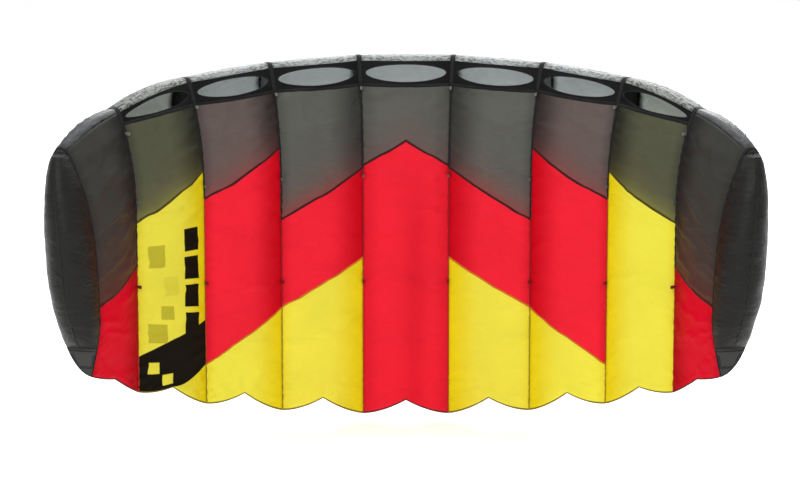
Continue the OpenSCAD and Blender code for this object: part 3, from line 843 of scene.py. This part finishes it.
def nose_band(k, sd):
    """Black nose cloth with its oval air inlet, and the tape bound round the hole."""
    n, rings = 128, 9
    a = 2 * math.pi * np.arange(n) / n
    rim = np.stack([np.cos(a), np.sin(a)], 1) / np.maximum(np.abs(np.cos(a)), np.abs(np.sin(a)))[:, None]
    hole = np.stack([0.88 * np.cos(a), 0.72 * np.sin(a)], 1)

    def place(w, off):
        u = 0.5 + 0.5 * w[..., 0]
        top = lip(k)(u)
        s = (top + BROW) / 2 + (top - BROW - 0.0007) / 2 * w[..., 1]
        return surface(k, sd, -s, u, off), u

    t = np.linspace(0, 1, rings)[:, None, None] ** 1.0
    w = hole[None] * (1 - t) + rim[None] * t
    g, u = place(w, 0.3)
    name = cell_name(k, sd)
    ob = new_object(f"cloth_nose_band_{name}", g.reshape(-1, 3), grid_faces(rings, n, flip=(sd > 0), wrap=True), MAT["black"])
    set_uv(ob, np.stack([w[..., 0] * CELL_W[k] / 2000, w[..., 1] * 0.04], 2).reshape(-1, 2))
    # painted shade: the black cloth darker towards the ribs
    set_value(ob, "lit", c01(0.3 + 0.7 * smooth(np.minimum(u, 1 - u) / 0.3)))
    set_value(ob, "glow", np.zeros(u.shape))
    flat_w = CELL_W[k] / 1000
    flat_l = (float(lip(k)(0.0)) - BROW) * RIB_C[max(0, k - 1)] / 1000
    d1 = np.roll(g[1:], -1, axis=1) - g[:-1]
    d2 = g[1:] - np.roll(g[:-1], -1, axis=1)
    area = 0.5 * np.linalg.norm(np.cross(d1, d2), axis=2).sum() / 1e6
    # the cut is the whole rectangle with its oval hole, and the cloth runs steeply over the nose
    length = max(flat_l, area / flat_w / 0.5)
    declare(ob, flat_w, length, area)
    thicken(ob, 0.5)
    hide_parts(f"nose_band_{name}")
    attach(ob, k)
    # bound edge: a tape folded over the rim of the hole, 6 mm each side
    cut = []
    profile = [(0.075, 1.15), (0.030, 1.25), (-0.012, 0.9), (-0.022, 0.3), (-0.012, -0.35), (0.030, -0.75), (0.075, -0.65)]
    for grow, off in profile:
        f = 1 + grow
        ww = np.stack([hole[:, 0] * (1 + grow * 0.45), hole[:, 1] * f], 1)
        p, _ = place(ww, off)
        cut.append(p)
    g2 = np.array(cut)
    ob = new_object(f"inlet_binding_{name}", g2.reshape(-1, 3), grid_faces(len(profile), n, flip=(sd < 0), wrap=True), MAT["bias"])
    run = np.concatenate([[0], np.cumsum(np.linalg.norm(np.diff(g2[3], axis=0), axis=1))]) / 1000
    set_uv(ob, np.stack([np.broadcast_to(np.linspace(0, 0.014, len(profile))[:, None], (len(profile), n)), np.broadcast_to(run[None, :], (len(profile), n))], 2).reshape(-1, 2))
    set_colour(ob, "dye", np.broadcast_to(np.array(rgb("#17191A")), (g2.shape[0] * n, 4)))
    thicken(ob, 0.35)
    attach(ob, k)


for k in range(5):
    for sd in (-1, 1):
        if k == 0 and sd < 0:
            continue
        name = cell_name(k, sd)
        a_seam = SEAM_A[k]
        nose_top(k, sd)
        if k < 4:
            nose_band(k, sd)
        panel(f"cloth_grey_{name}", k, sd, -1, lip(k) if k < 4 else const(BROW + 0.0003), line(a_seam), GREY_OF[k], f"bottom_grey_{name}", glow=glow_low if k == 4 else (glow_centre if k == 0 else glow_above))
        second = "yellow" if k == 3 else "red"
        if SEAM_B[k] is not None:
            panel(f"cloth_red_{name}", k, sd, -1, line(a_seam), line(SEAM_B[k]), "red", f"bottom_red_{name}")
            panel(f"cloth_yellow_{name}", k, sd, -1, line(SEAM_B[k]), const(1.0), "yellow", f"bottom_yellow_{name}")
            seam_strip(f"seam_red_yellow_{name}", k, sd, -1, line(SEAM_B[k]), 7.0, rgb("#D8741C"), None, darken=1.0)
        else:
            panel(f"cloth_{second}_{name}", k, sd, -1, line(a_seam), const(1.0), "yellow_print" if (k, sd) == (3, -1) else ("red_tip" if k == 4 else second), f"bottom_{second}_{name}")
        seam_strip(f"seam_grey_{name}", k, sd, -1, line(a_seam), 8.5, rgb({"red": "#3C0A10", "yellow": "#4A4010"}[second]), None, darken=1.0)
        if k < 4:
            seam_strip(f"seam_lip_{name}", k, sd, -1, lip(k), 9.0, rgb("#101112"), None, darken=1.0)
        # upper side
        at = NOSE_END
        seam_strip(f"seam_nose_{name}", k, sd, 1, const(at), 7.0, DYE["nose"] if k < 4 else DYE["grey"], DYE["pale"] if k < 4 else DYE["grey"], darken=0.5)
        for colour, until in TOP_SPLIT[k]:
            panel(f"cloth_top_{colour}_{name}", k, sd, 1, const(at), const(until), colour, mat="red_top" if colour == "red" else None)
            seam_strip(f"seam_top_{name}", k, sd, 1, const(until), 8.0, DYE["grey"] if "grey" in colour else DYE[colour], DYE[TOP_LAST[k]], darken=0.45)
            at = until
        panel(f"cloth_top_{TOP_LAST[k]}_{name}", k, sd, 1, const(at), const(1.0), TOP_LAST[k], mat=TOP_LAST[k] + "_top")


# ------------------------------------------------------------------ seams along the ribs
def colour_at(k, s, top):
    """The cloth colour of cell k beside a rib at share s of the chord; u is 1 when the rib is the cell's outboard edge."""
    def f(u):
        if top:
            if s < NOSE_END:
                return "nose"
            at = TOP_LAST[k]
            for colour, until in TOP_SPLIT[k]:
                if s < until:
                    return "grey" if "grey" in colour else colour
            return at
        if s < float(lip(k)(u)):
            return "black"
        if s < float(seam_at(SEAM_A[k], np.array(u))):
            return "grey"
        if SEAM_B[k] is not None:
            return "red" if s < float(seam_at(SEAM_B[k], np.array(u))) else "yellow"
        return "yellow" if k == 3 else "red"
    return f


def rib_seam(i, sd, top):
    """Felled seam over rib i, between cell i and cell i + 1 (at the tip rib the outer half lies along the rib's own
    edge).
    """
    c = RIB_C[i]
    if top:
        s = np.concatenate([0.09 * np.linspace(0, 1, 34) ** 2, np.linspace(0.09, 1, int(c * 0.91 / 9))[1:]])
    else:
        s = np.concatenate([0.09 * np.linspace(0, 1, 22) ** 2, np.linspace(0.09, 1, int(c * 0.91 / 9))[1:]])
    q = np.maximum(s, 1e-6) * (1 if top else -1)
    half = 3.1 + 4.4 * (1 - smooth((s - 0.05) / 0.06))
    if not top:
        rear = np.array([colour_at(i, v, False)(1.0) not in ("grey", "black") and (i == 4 or colour_at(i + 1, v, False)(0.0) not in ("grey", "black")) for v in s])
        half = np.where(rear, 2.1, half)
    cols = []
    w_in, w_out = CELL_W[i], CELL_W[min(4, i + 1)]
    inner_k = i
    inner_sd = sd
    for d, off in ((half, -0.15), (half * 0.55, -0.6), (0.0, -1.0), (half * 0.55, -0.6), (half, -0.15)):
        j = len(cols)
        if j < 2:
            u = 1 - d / w_in
            if inner_k == 0:
                cols.append(surface(0, 1, q, u if sd > 0 else 1 - u, off))
            else:
                cols.append(surface(inner_k, sd, q, u, off))
        elif j == 2:
            cols.append(edge_line(i, sd, q, off, 1, 0.0))
        else:
            if i < 4:
                cols.append(surface(i + 1, sd, q, d / w_out, off))
            else:
                cols.append(edge_line(i, sd, q, 0.3 if j == 3 else 2.6, 1, 0.9))
    g = np.stack(cols, 1)
    name = f"rib_seam_{'top' if top else 'under'}_{side_name(sd)}_{i + 1}"
    ob = new_object(name, g.reshape(-1, 3), grid_faces(*g.shape[:2], flip=(sd > 0) == (not top)), MAT["rib_seam"])
    run = np.concatenate([[0], np.cumsum(np.linalg.norm(np.diff(g[:, 2], axis=0), axis=1))]) / 1000
    x = half[:, None] * np.array([-1, -0.55, 0, 0.55, 1])[None, :] / 1000
    set_uv(ob, np.stack([x, np.broadcast_to(run[:, None], g.shape[:2])], 2).reshape(-1, 2))
    dye = []
    for v in s:
        a = colour_at(i, v, top)(1.0)
        b = colour_at(i + 1, v, top)(0.0) if i < 4 else "black"
        pair = {a, b}
        if top and pair <= {"nose", "pale"}:
            c = "#1C1E1F" if v < 0.03 else ("#505455" if v < NOSE_END else "#7C8182")
        elif "black" in pair or "grey" in pair:
            c = "#101111"
        elif pair == {"red"}:
            c = "#8A0816"
        elif pair == {"yellow"}:
            c = "#9A8410"
        elif pair == {"red", "yellow"}:
            c = "#A8380E"
        else:
            c = "#5A5350"
        dye.append(rgb(c))
    set_colour(ob, "dye", np.repeat(np.array(dye), g.shape[1], axis=0))
    thicken(ob, 0.35)
    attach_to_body(ob, body_name(i, sd) if i else "canopy_centre")
    return ob


for sd in (-1, 1):
    for i in range(5):
        rib_seam(i, sd, False)
        rib_seam(i, sd, True)


# ------------------------------------------------------------------ hem along the trailing edge
def te_hem(k, sd):
    nu = 45
    u = np.linspace(0, 1, nu)
    rows = []
    for q, off, down in ((-0.9955, -0.2, 0), (-0.9975, -0.5, 0), (-0.9996, -0.5, 0), (-1.0, 0.3, -0.8), (1.0, 0.3, -0.8), (0.9996, -0.5, 0), (0.9975, -0.5, 0), (0.9955, -0.2, 0)):
        p = surface(k, sd, np.full_like(u, q), u, off)
        p[:, 2] += down
        rows.append(p)
    g = np.array(rows)
    name = cell_name(k, sd)
    ob = new_object(f"hem_{name}", g.reshape(-1, 3), grid_faces(*g.shape[:2], flip=(sd > 0)), MAT["hem"])
    run = np.concatenate([[0], np.cumsum(np.linalg.norm(np.diff(g[3], axis=0), axis=1))]) / 1000
    x = np.concatenate([[0], np.cumsum(np.linalg.norm(np.diff(g[:, nu // 2], axis=0), axis=1))]) / 1000
    set_uv(ob, np.stack([np.broadcast_to(x[:, None], g.shape[:2]), np.broadcast_to(run[None, :], g.shape[:2])], 2).reshape(-1, 2))
    set_colour(ob, "dye", np.broadcast_to(np.array(rgb("#7C6E12")) if k in (1, 2, 3) else np.array(rgb("#5A0812")), (g.shape[0] * nu, 4)))
    thicken(ob, 0.35)
    attach(ob, k)


for k in range(5):
    for sd in (-1, 1):
        if not (k == 0 and sd < 0):
            te_hem(k, sd)


# ------------------------------------------------------------------ ribs
def rib_plane(i, sd, pts, out=0.0):
    """2D points (chord, height) of rib i's plane into space."""
    pts = np.asarray(pts, float)
    p = rib_o(i, sd) + pts[:, 1:2] * nrm(RIB_ROLL[i], sd) + out * spn(RIB_ROLL[i], sd)
    p[:, 2] += pts[:, 0]
    return p


def flat_fill(name, outline, holes, thick):
    """A filled 2D outline with holes as a mesh, by Blender's own curve filling."""
    cu = bpy.data.curves.new(name, "CURVE")
    cu.dimensions = "2D"
    cu.fill_mode = "NONE"
    cu.fill_mode = "BOTH"
    for loop in [outline, *holes]:
        sp = cu.splines.new("POLY")
        sp.points.add(len(loop) - 1)
        sp.points.foreach_set("co", np.array([[x / 1000, y / 1000, 0, 1] for x, y in loop], np.float32).ravel())
        sp.use_cyclic_u = True
    ob = bpy.data.objects.new(name, cu)
    SCENE.collection.objects.link(ob)
    bpy.context.view_layer.update()
    mesh = bpy.data.meshes.new_from_object(ob.evaluated_get(bpy.context.evaluated_depsgraph_get()))
    bpy.data.objects.remove(ob)
    co = np.array([v.co for v in mesh.vertices], float).reshape(-1, 3) * 1000
    faces = [tuple(p.vertices) for p in mesh.polygons]
    bpy.data.meshes.remove(mesh)
    return co[:, :2], faces


def ring(cx, cy, r, n=56):
    return [(cx + r * math.cos(2 * math.pi * j / n), cy + r * math.sin(2 * math.pi * j / n)) for j in range(n)]


def rib_piece(i, sd):
    c = RIB_C[i]
    s_in = np.concatenate([0.08 * np.linspace(0, 1, 24) ** 2, np.linspace(0.08, 0.994, int(c * 0.9 / 9))[1:]])
    top = np.stack(section(i, s_in[::-1] + 1e-6, 0.9), 1)
    low = np.stack(section(i, -s_in[1:] - 1e-6, 0.9), 1)
    outline = np.concatenate([top, low])
    holes, area_out = [], 0.0
    if i < 4:
        for s in PORT_S:
            hi, lo = float(height(i, s)), float(height(i, -s))
            upper_h = float(upper(i, np.array(s)) * c + 5 * s**6)
            holes.append((-s * c, (upper_h + lo) / 2, 0.29 * (upper_h - lo)))
    else:
        s = 0.37
        upper_h, lo = float(upper(4, np.array(s)) * c + 5 * s**6), float(height(4, -s))
        holes.append((-s * c, (upper_h + lo) / 2, 34.0))
    loops = [ring(*h) for h in holes]
    if i == 4:
        loops.append(drain_outline(8))
    co, faces = flat_fill(f"rib_{i}", outline.tolist(), loops, 0.4)
    p = rib_plane(i, sd, co)
    ob = new_object(f"rib_cloth_{side_name(sd)}_{i + 1}", p, [f if sd > 0 else f[::-1] for f in faces], MAT["corner" if i == 4 else ("rib_pale" if i < 2 else "rib")], smooth_faces=False)
    set_uv(ob, co / 1000)
    set_value(ob, "lit", np.full(len(co), 0.7))
    set_value(ob, "glow", np.zeros(len(co)))
    poly = outline
    area = abs(0.5 * np.sum(poly[:, 0] * np.roll(poly[:, 1], -1) - np.roll(poly[:, 0], -1) * poly[:, 1])) / 1e6
    area -= sum(math.pi * h[2] ** 2 for h in holes) / 1e6
    w = (outline[:, 1].max() - outline[:, 1].min()) / 1000
    l = (outline[:, 0].max() - outline[:, 0].min()) / 1000
    declare(ob, w, l, area)
    thicken(ob, 0.4)
    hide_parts(f"rib_{side_name(sd)}_{i + 1}")
    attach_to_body(ob, body_name(i, sd) if i else "canopy_centre")
    # a hot-cut edge tape round each cross port
    for j, (cx, cy, r) in enumerate(holes):
        n = 56
        prof = [(0.0, 0.5), (3.5, 0.55), (3.5, -0.55), (0.0, -0.5)]
        verts = []
        for dr, out in prof:
            verts.append(rib_plane(i, sd, ring(cx, cy, r + dr, n), out))
        g = np.array(verts)
        faces = grid_faces(len(prof), n, flip=sd < 0, wrap=True)
        idx = np.arange(len(prof) * n).reshape(len(prof), n)
        for b in range(n):
            cnx = (b + 1) % n
            f = (int(idx[-1, b]), int(idx[0, b]), int(idx[0, cnx]), int(idx[-1, cnx]))
            faces.append(f[::-1] if sd < 0 else f)
        ob2 = new_object(f"port_tape_{side_name(sd)}_{i + 1}_{j + 1}", g.reshape(-1, 3), faces, MAT["bias"], smooth_faces=False)
        ang = np.linspace(0, 2 * math.pi * r / 1000, n)
        set_uv(ob2, np.stack([np.broadcast_to(np.array([0, 0.0035, 0.0035, 0])[:, None], (4, n)), np.broadcast_to(ang[None, :], (4, n))], 2).reshape(-1, 2))
        set_colour(ob2, "dye", np.broadcast_to(np.array(rgb("#1B1D1E")), (4 * n, 4)))
        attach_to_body(ob2, body_name(i, sd) if i else "canopy_centre")


def drain_pt(a, b, inset):
    s = mix(DRAIN_S[0], DRAIN_S[1], a)
    c = RIB_C[4]
    lo = float(under(4, np.array(s))) * c + inset
    hi = float(upper(4, np.array(s))) * c + 5 * s**6 - inset
    return (-s * c + (-inset if a == 0 else inset), mix(lo, hi, b))


def drain_outline(inset):
    return [drain_pt(0, 1, inset), drain_pt(1, 1, inset), drain_pt(1, 0, inset), drain_pt(0, 0, inset)]


for sd in (-1, 1):
    for i in range(5):
        rib_piece(i, sd)


# ------------------------------------------------------------------ tip pods
def pod_surface(sd, s, v, part, off):
    depth = 6 + (POD_D - 6) * np.maximum(0, 1 - np.abs(2 * (s / POD_END) - 1) ** 2.6) ** 0.62
    lo = under(4, s) * RIB_C[4]
    hi = upper(4, s) * RIB_C[4] + 5 * s**6
    m = (lo + hi) / 2
    e = (m - lo) if part == 0 else (hi - m)
    d = 0.4 + (depth - off) * np.sin(math.pi / 2 * v)
    h = m + (-1 if part == 0 else 1) * (e - off) * np.cos(math.pi / 2 * v)
    p = rib_o(4, sd) + h[..., None] * nrm(RIB_ROLL[4], sd) + (1.0 + d)[..., None] * spn(RIB_ROLL[4], sd)
    p[..., 2] += -s * RIB_C[4]
    return p


def pod_gore(sd, part):
    nv, ns = 33, 96
    v = np.linspace(0, 1, nv)
    s = 0.03 + (POD_END - 0.03) * (0.5 - 0.5 * np.cos(math.pi * np.linspace(0, 1, ns)))
    ss, vv = np.meshgrid(s, v, indexing="ij")
    g = pod_surface(sd, ss, vv, part, 0.3)
    e = 0.001
    ds = pod_surface(sd, np.minimum(ss + e, POD_END), vv, part, 0.3) - pod_surface(sd, np.maximum(ss - e, 0.03), vv, part, 0.3)
    dv = pod_surface(sd, ss, np.minimum(vv + e, 1), part, 0.3) - pod_surface(sd, ss, np.maximum(vv - e, 0), part, 0.3)
    n = np.cross(ds, dv)
    n = n / (np.linalg.norm(n, axis=2, keepdims=True) + 1e-9)
    centre = rib_o(4, sd) + np.array([0, 0, -0.42 * RIB_C[4]]) + nrm(RIB_ROLL[4], sd) * 90
    sign = np.sign(((g - centre) * n).sum(2, keepdims=True))
    n = n * sign
    rr = waves(41 + part + 2 * (sd > 0), 7, 22, 60, 0.35)
    slack = waves(61 + part + 2 * (sd > 0), 6, 60, 150, 0.9)
    x, y = vv * 180.0, ss * RIB_C[4]
    edge = np.exp(-vv * 180 / 26.0) + 0.9 * np.exp(-(1 - vv) * 180 / 22.0)
    ends = c01((ss - 0.03) / 0.05) * c01((POD_END - ss) / 0.05)
    pin = c01(vv / 0.04) * c01((1 - vv) / 0.03)
    lift = ends * pin * (1.9 * edge * rr(x * 0.2, y) + 1.5 * slack(x, y) * np.sin(math.pi * vv) ** 0.6)
    g = g + np.minimum(lift, 2.5)[..., None] * n
    # both ends are gathered shut against the tip rib
    caps = []
    for row, centre_s, dome, steps in ((0, 0.020, 3.0, (0.97, 0.86, 0.70, 0.52, 0.34, 0.18, 0.07)), (-1, POD_END + 0.004, -0.9, (0.85, 0.5, 0.2))):
        m2 = (under(4, np.array(centre_s)) + upper(4, np.array(centre_s))) / 2 * RIB_C[4]
        c0 = rib_o(4, sd) + m2 * nrm(RIB_ROLL[4], sd) + 2.2 * spn(RIB_ROLL[4], sd) + np.array([0, 0, -centre_s * RIB_C[4]])
        got = []
        for f in steps:
            pucker = 1.4 * np.sin(2 * math.pi * (7.0 * v + 0.3 * part)) * math.sin(math.pi * f) * c01(v / 0.05) * c01((1 - v) / 0.05)
            rowp = g[row] * f + c0[None, :] * (1 - f)
            rowp[:, 2] += dome * math.sin(math.pi * f) + pucker
            got.append(rowp)
        caps.append(np.array(got))
    g = np.concatenate([caps[0][::-1], g, caps[1]])
    ss = np.concatenate([np.repeat(ss[:1], len(caps[0]), 0), ss, np.repeat(ss[-1:], len(caps[1]), 0)])
    ns = g.shape[0]
    ob = new_object(f"pod_gore_{'under' if part == 0 else 'upper'}_{side_name(sd)}", g.reshape(-1, 3), grid_faces(ns, nv, flip=(sd > 0) == (part == 0)), MAT["pod"])
    set_uv(ob, grid_uv(g))
    # painted light and shade: the pod cloth lighter toward the nose, darker toward the rear
    set_value(ob, "lit", c01(0.35 + 0.65 * (1 - ss / 0.9)))
    set_value(ob, "glow", np.zeros(ss.shape))
    declare(ob, *measure(g))
    thicken(ob, 0.5)
    if part == 0:
        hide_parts(f"tip_pod_{side_name(sd)}")
    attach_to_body(ob, body_name(4, sd))


def pod_seam(sd):
    s = np.linspace(0.035, POD_END - 0.004, 110)
    cols = []
    for part, v, off in ((0, 0.965, -0.1), (0, 0.985, -0.7), (0, 1.0, -1.2), (1, 0.985, -0.7), (1, 0.965, -0.1)):
        cols.append(pod_surface(sd, s, np.full_like(s, v), part, off))
    g = np.stack(cols, 1)
    ob = new_object(f"pod_seam_{side_name(sd)}", g.reshape(-1, 3), grid_faces(*g.shape[:2], flip=sd > 0), MAT["rib_seam"])
    run = np.concatenate([[0], np.cumsum(np.linalg.norm(np.diff(g[:, 2], axis=0), axis=1))]) / 1000
    x = np.array([-4, -2.2, 0, 2.2, 4]) / 1000
    set_uv(ob, np.stack([np.broadcast_to(x[None, :], g.shape[:2]), np.broadcast_to(run[:, None], g.shape[:2])], 2).reshape(-1, 2))
    set_colour(ob, "dye", np.broadcast_to(np.array(rgb("#141617")), (g.shape[0] * 5, 4)))
    thicken(ob, 0.35)
    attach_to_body(ob, body_name(4, sd))


for sd in (-1, 1):
    pod_gore(sd, 0)
    pod_gore(sd, 1)
    pod_seam(sd)


# ------------------------------------------------------------------ drain flaps
def drain_flap(sd):
    base = RIB_ROLL[4]
    o = [np.array(drain_pt(a, b, 2.0)) for a, b in ((0, 0), (0, 1), (1, 1), (1, 0))]
    n, m = 17, 11
    a, b = np.meshgrid(np.linspace(0, 1, n), np.linspace(0, 1, m), indexing="ij")
    p2 = (o[0][None, None] * ((1 - a) * (1 - b))[..., None] + o[1][None, None] * ((1 - a) * b)[..., None] + o[2][None, None] * (a * b)[..., None] + o[3][None, None] * (a * (1 - b))[..., None])
    out = 1 + 0.6 + 0.5 + 0.5 * np.sin(math.pi * b) * np.sin(math.pi * a) + 0.35 * np.sin(5 * a + 3 * b)* a
    p = rib_o(4, sd) + p2[..., 1:2] * nrm(base, sd) + out[..., None] * spn(base, sd)
    p[..., 2] += p2[..., 0]
    ob = new_object(f"drain_flap_cloth_{side_name(sd)}", p.reshape(-1, 3), grid_faces(n, m, flip=sd < 0), MAT["corner"])
    set_uv(ob, p2.reshape(-1, 2) / 1000)
    set_value(ob, "lit", np.full(a.size, 0.9))
    set_value(ob, "glow", np.zeros(a.size))
    declare(ob, *measure(p))
    thicken(ob, 0.5)
    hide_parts(f"drain_flap_{side_name(sd)}")
    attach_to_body(ob, f"flap_{side_name(sd)}")
    # folded edge tape on the three free edges
    edge = [(t, 0.0) for t in np.linspace(0.16, 1, 9)] + [(1.0, t) for t in np.linspace(0.1, 1, 7)] + [(t, 1.0) for t in np.linspace(0.9, 0.16, 9)]
    edge = np.array(edge)
    mid = np.array([0.5, 0.5])

    def at(e, shrink, lift):
        e2 = mid + (e - mid) * (1 - shrink)
        q2 = (o[0] * ((1 - e2[:, :1]) * (1 - e2[:, 1:])) + o[1] * ((1 - e2[:, :1]) * e2[:, 1:]) + o[2] * (e2[:, :1] * e2[:, 1:]) + o[3] * (e2[:, :1] * (1 - e2[:, 1:])))
        w = 2.1 + 0.5 * np.sin(math.pi * e2[:, 1]) * np.sin(math.pi * e2[:, 0]) + 0.35 * np.sin(5 * e2[:, 0] + 3 * e2[:, 1]) * e2[:, 0] + lift
        r = rib_o(4, sd) + q2[:, 1:2] * nrm(base, sd) + w[:, None] * spn(base, sd)
        r[:, 2] += q2[:, 0]
        return r

    g = np.stack([at(edge, 0.22, 0.62), at(edge, 0.02, 0.62), at(edge, -0.03, 0.0), at(edge, 0.02, -0.42)], 1)
    ob = new_object(f"drain_flap_tape_{side_name(sd)}", g.reshape(-1, 3), grid_faces(*g.shape[:2], flip=sd > 0), MAT["bias"], smooth_faces=False)
    run = np.concatenate([[0], np.cumsum(np.linalg.norm(np.diff(g[:, 1], axis=0), axis=1))]) / 1000
    set_uv(ob, np.stack([np.broadcast_to(np.array([0, 0.005, 0.007, 0.009])[None, :], g.shape[:2]), np.broadcast_to(run[:, None], g.shape[:2])], 2).reshape(-1, 2))
    set_colour(ob, "dye", np.broadcast_to(np.array(rgb("#1E2122")), (g.shape[0] * 4, 4)))
    thicken(ob, 0.3)
    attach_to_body(ob, f"flap_{side_name(sd)}")


for sd in (-1, 1):
    drain_flap(sd)


# ------------------------------------------------------------------ webbing loops
def loop_piece(i, sd, row, s):
    """One folded tape: down from the seam, round the eye and back."""
    c = RIB_C[i]
    root = float(height(i, -(s + TAPE_W / 2 / c)))
    cy = root - LOOP_LEN
    r = EYE_R + 0.5
    path = []
    for y in np.linspace(root + 1.0, cy + r * 1.35, 7):
        path.append((-0.55, y))
    for a in np.linspace(math.radians(118), math.radians(422), 33):
        path.append((r * math.cos(a), cy + r * math.sin(a)))
    for y in np.linspace(cy + r * 1.35, root + 1.0, 7):
        path.append((0.55, y))
    path = np.array(path)
    zs = np.linspace(-TAPE_W / 2, TAPE_W / 2, 9)
    rows = []
    for x, y in path:
        base = rib_o(i, sd) + y * nrm(RIB_ROLL[i], sd) + x * spn(RIB_ROLL[i], sd)
        row_pts = []
        for z in zs:
            p = base.copy()
            p[2] += -s * c + z
            row_pts.append(p)
        rows.append(row_pts)
    g = np.array(rows)
    ob = new_object(f"loop_{side_name(sd)}_{i + 1}_{row}", g.reshape(-1, 3), grid_faces(*g.shape[:2], flip=sd > 0), MAT[{"a": "webbing", "b": "webbing_mid", "c": "webbing_dark"}[row]])
    run = np.concatenate([[0], np.cumsum(np.linalg.norm(np.diff(g[:, 4], axis=0), axis=1))]) / 1000
    set_uv(ob, np.stack([np.broadcast_to(zs[None, :] / 1000, g.shape[:2]), np.broadcast_to(run[:, None], g.shape[:2])], 2).reshape(-1, 2))
    thicken(ob, 0.8)
    if row == "a":
        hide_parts(f"bridle_loops_{side_name(sd)}_{i + 1}")
    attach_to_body(ob, body_name(i, sd) if i else "canopy_centre")
    # bar tack across the folded stem
    verts, faces = [], []
    for j in range(6):
        z = -4.2 + j * 1.68
        y0 = root - LOOP_LEN + r * 1.9
        for side in (-1, 1):
            b = len(verts)
            for dx, dy, dz in ((0, -1.0, -0.45), (0, 1.0, -0.1), (0, 1.0, 0.35), (0, -1.0, 0.0), (0.35, -0.7, -0.25), (0.35, 0.8, 0.0), (0.35, 0.8, 0.2), (0.35, -0.7, 0.0)):
                p = rib_o(i, sd) + (y0 + dy) * nrm(RIB_ROLL[i], sd) + side * (0.95 + dx) * spn(RIB_ROLL[i], sd)
                p[2] += -s * c + z + dz
                verts.append(p)
            for f in ((0, 1, 2, 3), (4, 7, 6, 5), (0, 4, 5, 1), (1, 5, 6, 2), (2, 6, 7, 3), (3, 7, 4, 0)):
                faces.append(tuple(b + x for x in f))
    tack = new_object(f"loop_tack_{side_name(sd)}_{i + 1}_{row}", verts, faces, MAT["tack"], smooth_faces=False)
    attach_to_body(tack, body_name(i, sd) if i else "canopy_centre")


MAT["tack"] = tape("tack_thread", (), (0.5, 0.5, 0.5, 1), fallback=rgb("#8E9090"))
for sd in (-1, 1):
    for i in range(4):
        for row, s in zip("abc", ROW_S):
            loop_piece(i, sd, row, s)


# ------------------------------------------------------------------ floor, light, camera
lo, hi = CAD_BOX
n = 24
fx, fy = np.meshgrid(np.linspace(-14, 14, n), np.linspace(-14, 30, n), indexing="ij")
dip = 0.004 * np.sin(fx * 0.7) * np.cos(fy * 0.5)
fp = np.stack([fx, fy, -0.02 + lo[2] - 0.004 + dip], 2).reshape(-1, 3) * 1000
mesh = bpy.data.meshes.new("floor")
mesh.from_pydata((fp / 1000).tolist(), [], grid_faces(n, n, flip=True))
floor = bpy.data.objects.new("floor", mesh)
SCENE.collection.objects.link(floor)
fm = Nodes("studio_floor")
fb = fm.n("ShaderNodeBsdfPrincipled")
fb.inputs["Base Color"].default_value = (0.94, 0.94, 0.94, 1)
fb.inputs["Roughness"].default_value = 0.9
fb.inputs["Specular IOR Level"].default_value = 0.0
fb.inputs["Emission Color"].default_value = (1, 1, 1, 1)
fb.inputs["Emission Strength"].default_value = 0.30
fm.put(fm.out.inputs[0], fb.outputs[0])
mesh.materials.append(fm.mat)

world = bpy.data.worlds.new("studio")
SCENE.world = world
world.use_nodes = True
bg = world.node_tree.nodes["Background"]
bg.inputs[0].default_value = (1.0, 1.0, 1.0, 1)
bg.inputs[1].default_value = 0.72


def area(name, place, aim, size, power, colour=(1, 1, 1)):
    li = bpy.data.lights.new(name, "AREA")
    li.shape = "RECTANGLE"
    li.size, li.size_y = size
    li.energy = power
    li.color = colour
    ob = bpy.data.objects.new(name, li)
    SCENE.collection.objects.link(ob)
    ob.location = place
    ob.rotation_euler = (Vector(aim) - Vector(place)).to_track_quat("-Z", "Y").to_euler()
    return ob


area("front_soft", (-1.5, -5.0, 4.2), (0, 0, 0.6), (4.0, 3.0), 150, (1.0, 0.99, 0.97))
area("back_sky", (0.6, 5.0, 3.6), (0, 0, 0.7), (5.0, 3.5), 260, (0.98, 0.99, 1.0))
area("top_rim", (0, 1.2, 5.0), (0, 0, 1.0), (5.0, 2.5), 110, (1, 1, 1))

cam_data = bpy.data.cameras.new("camera")
cam = bpy.data.objects.new("camera", cam_data)
SCENE.collection.objects.link(cam)
cam_data.sensor_width = 36
cam_data.lens = 156.06
cam_data.dof.use_dof = False
cam_data.clip_end = 100
EL, DIST = math.radians(12.0), 12.0
target = Vector((-0.0208, 0.0, 0.676))
ahead = Vector((0, math.cos(EL), -math.sin(EL)))
cam.location = target - DIST * ahead
cam.rotation_euler = ahead.to_track_quat("-Z", "Y").to_euler()
SCENE.camera = cam
SCENE.view_settings.view_transform = "Standard"
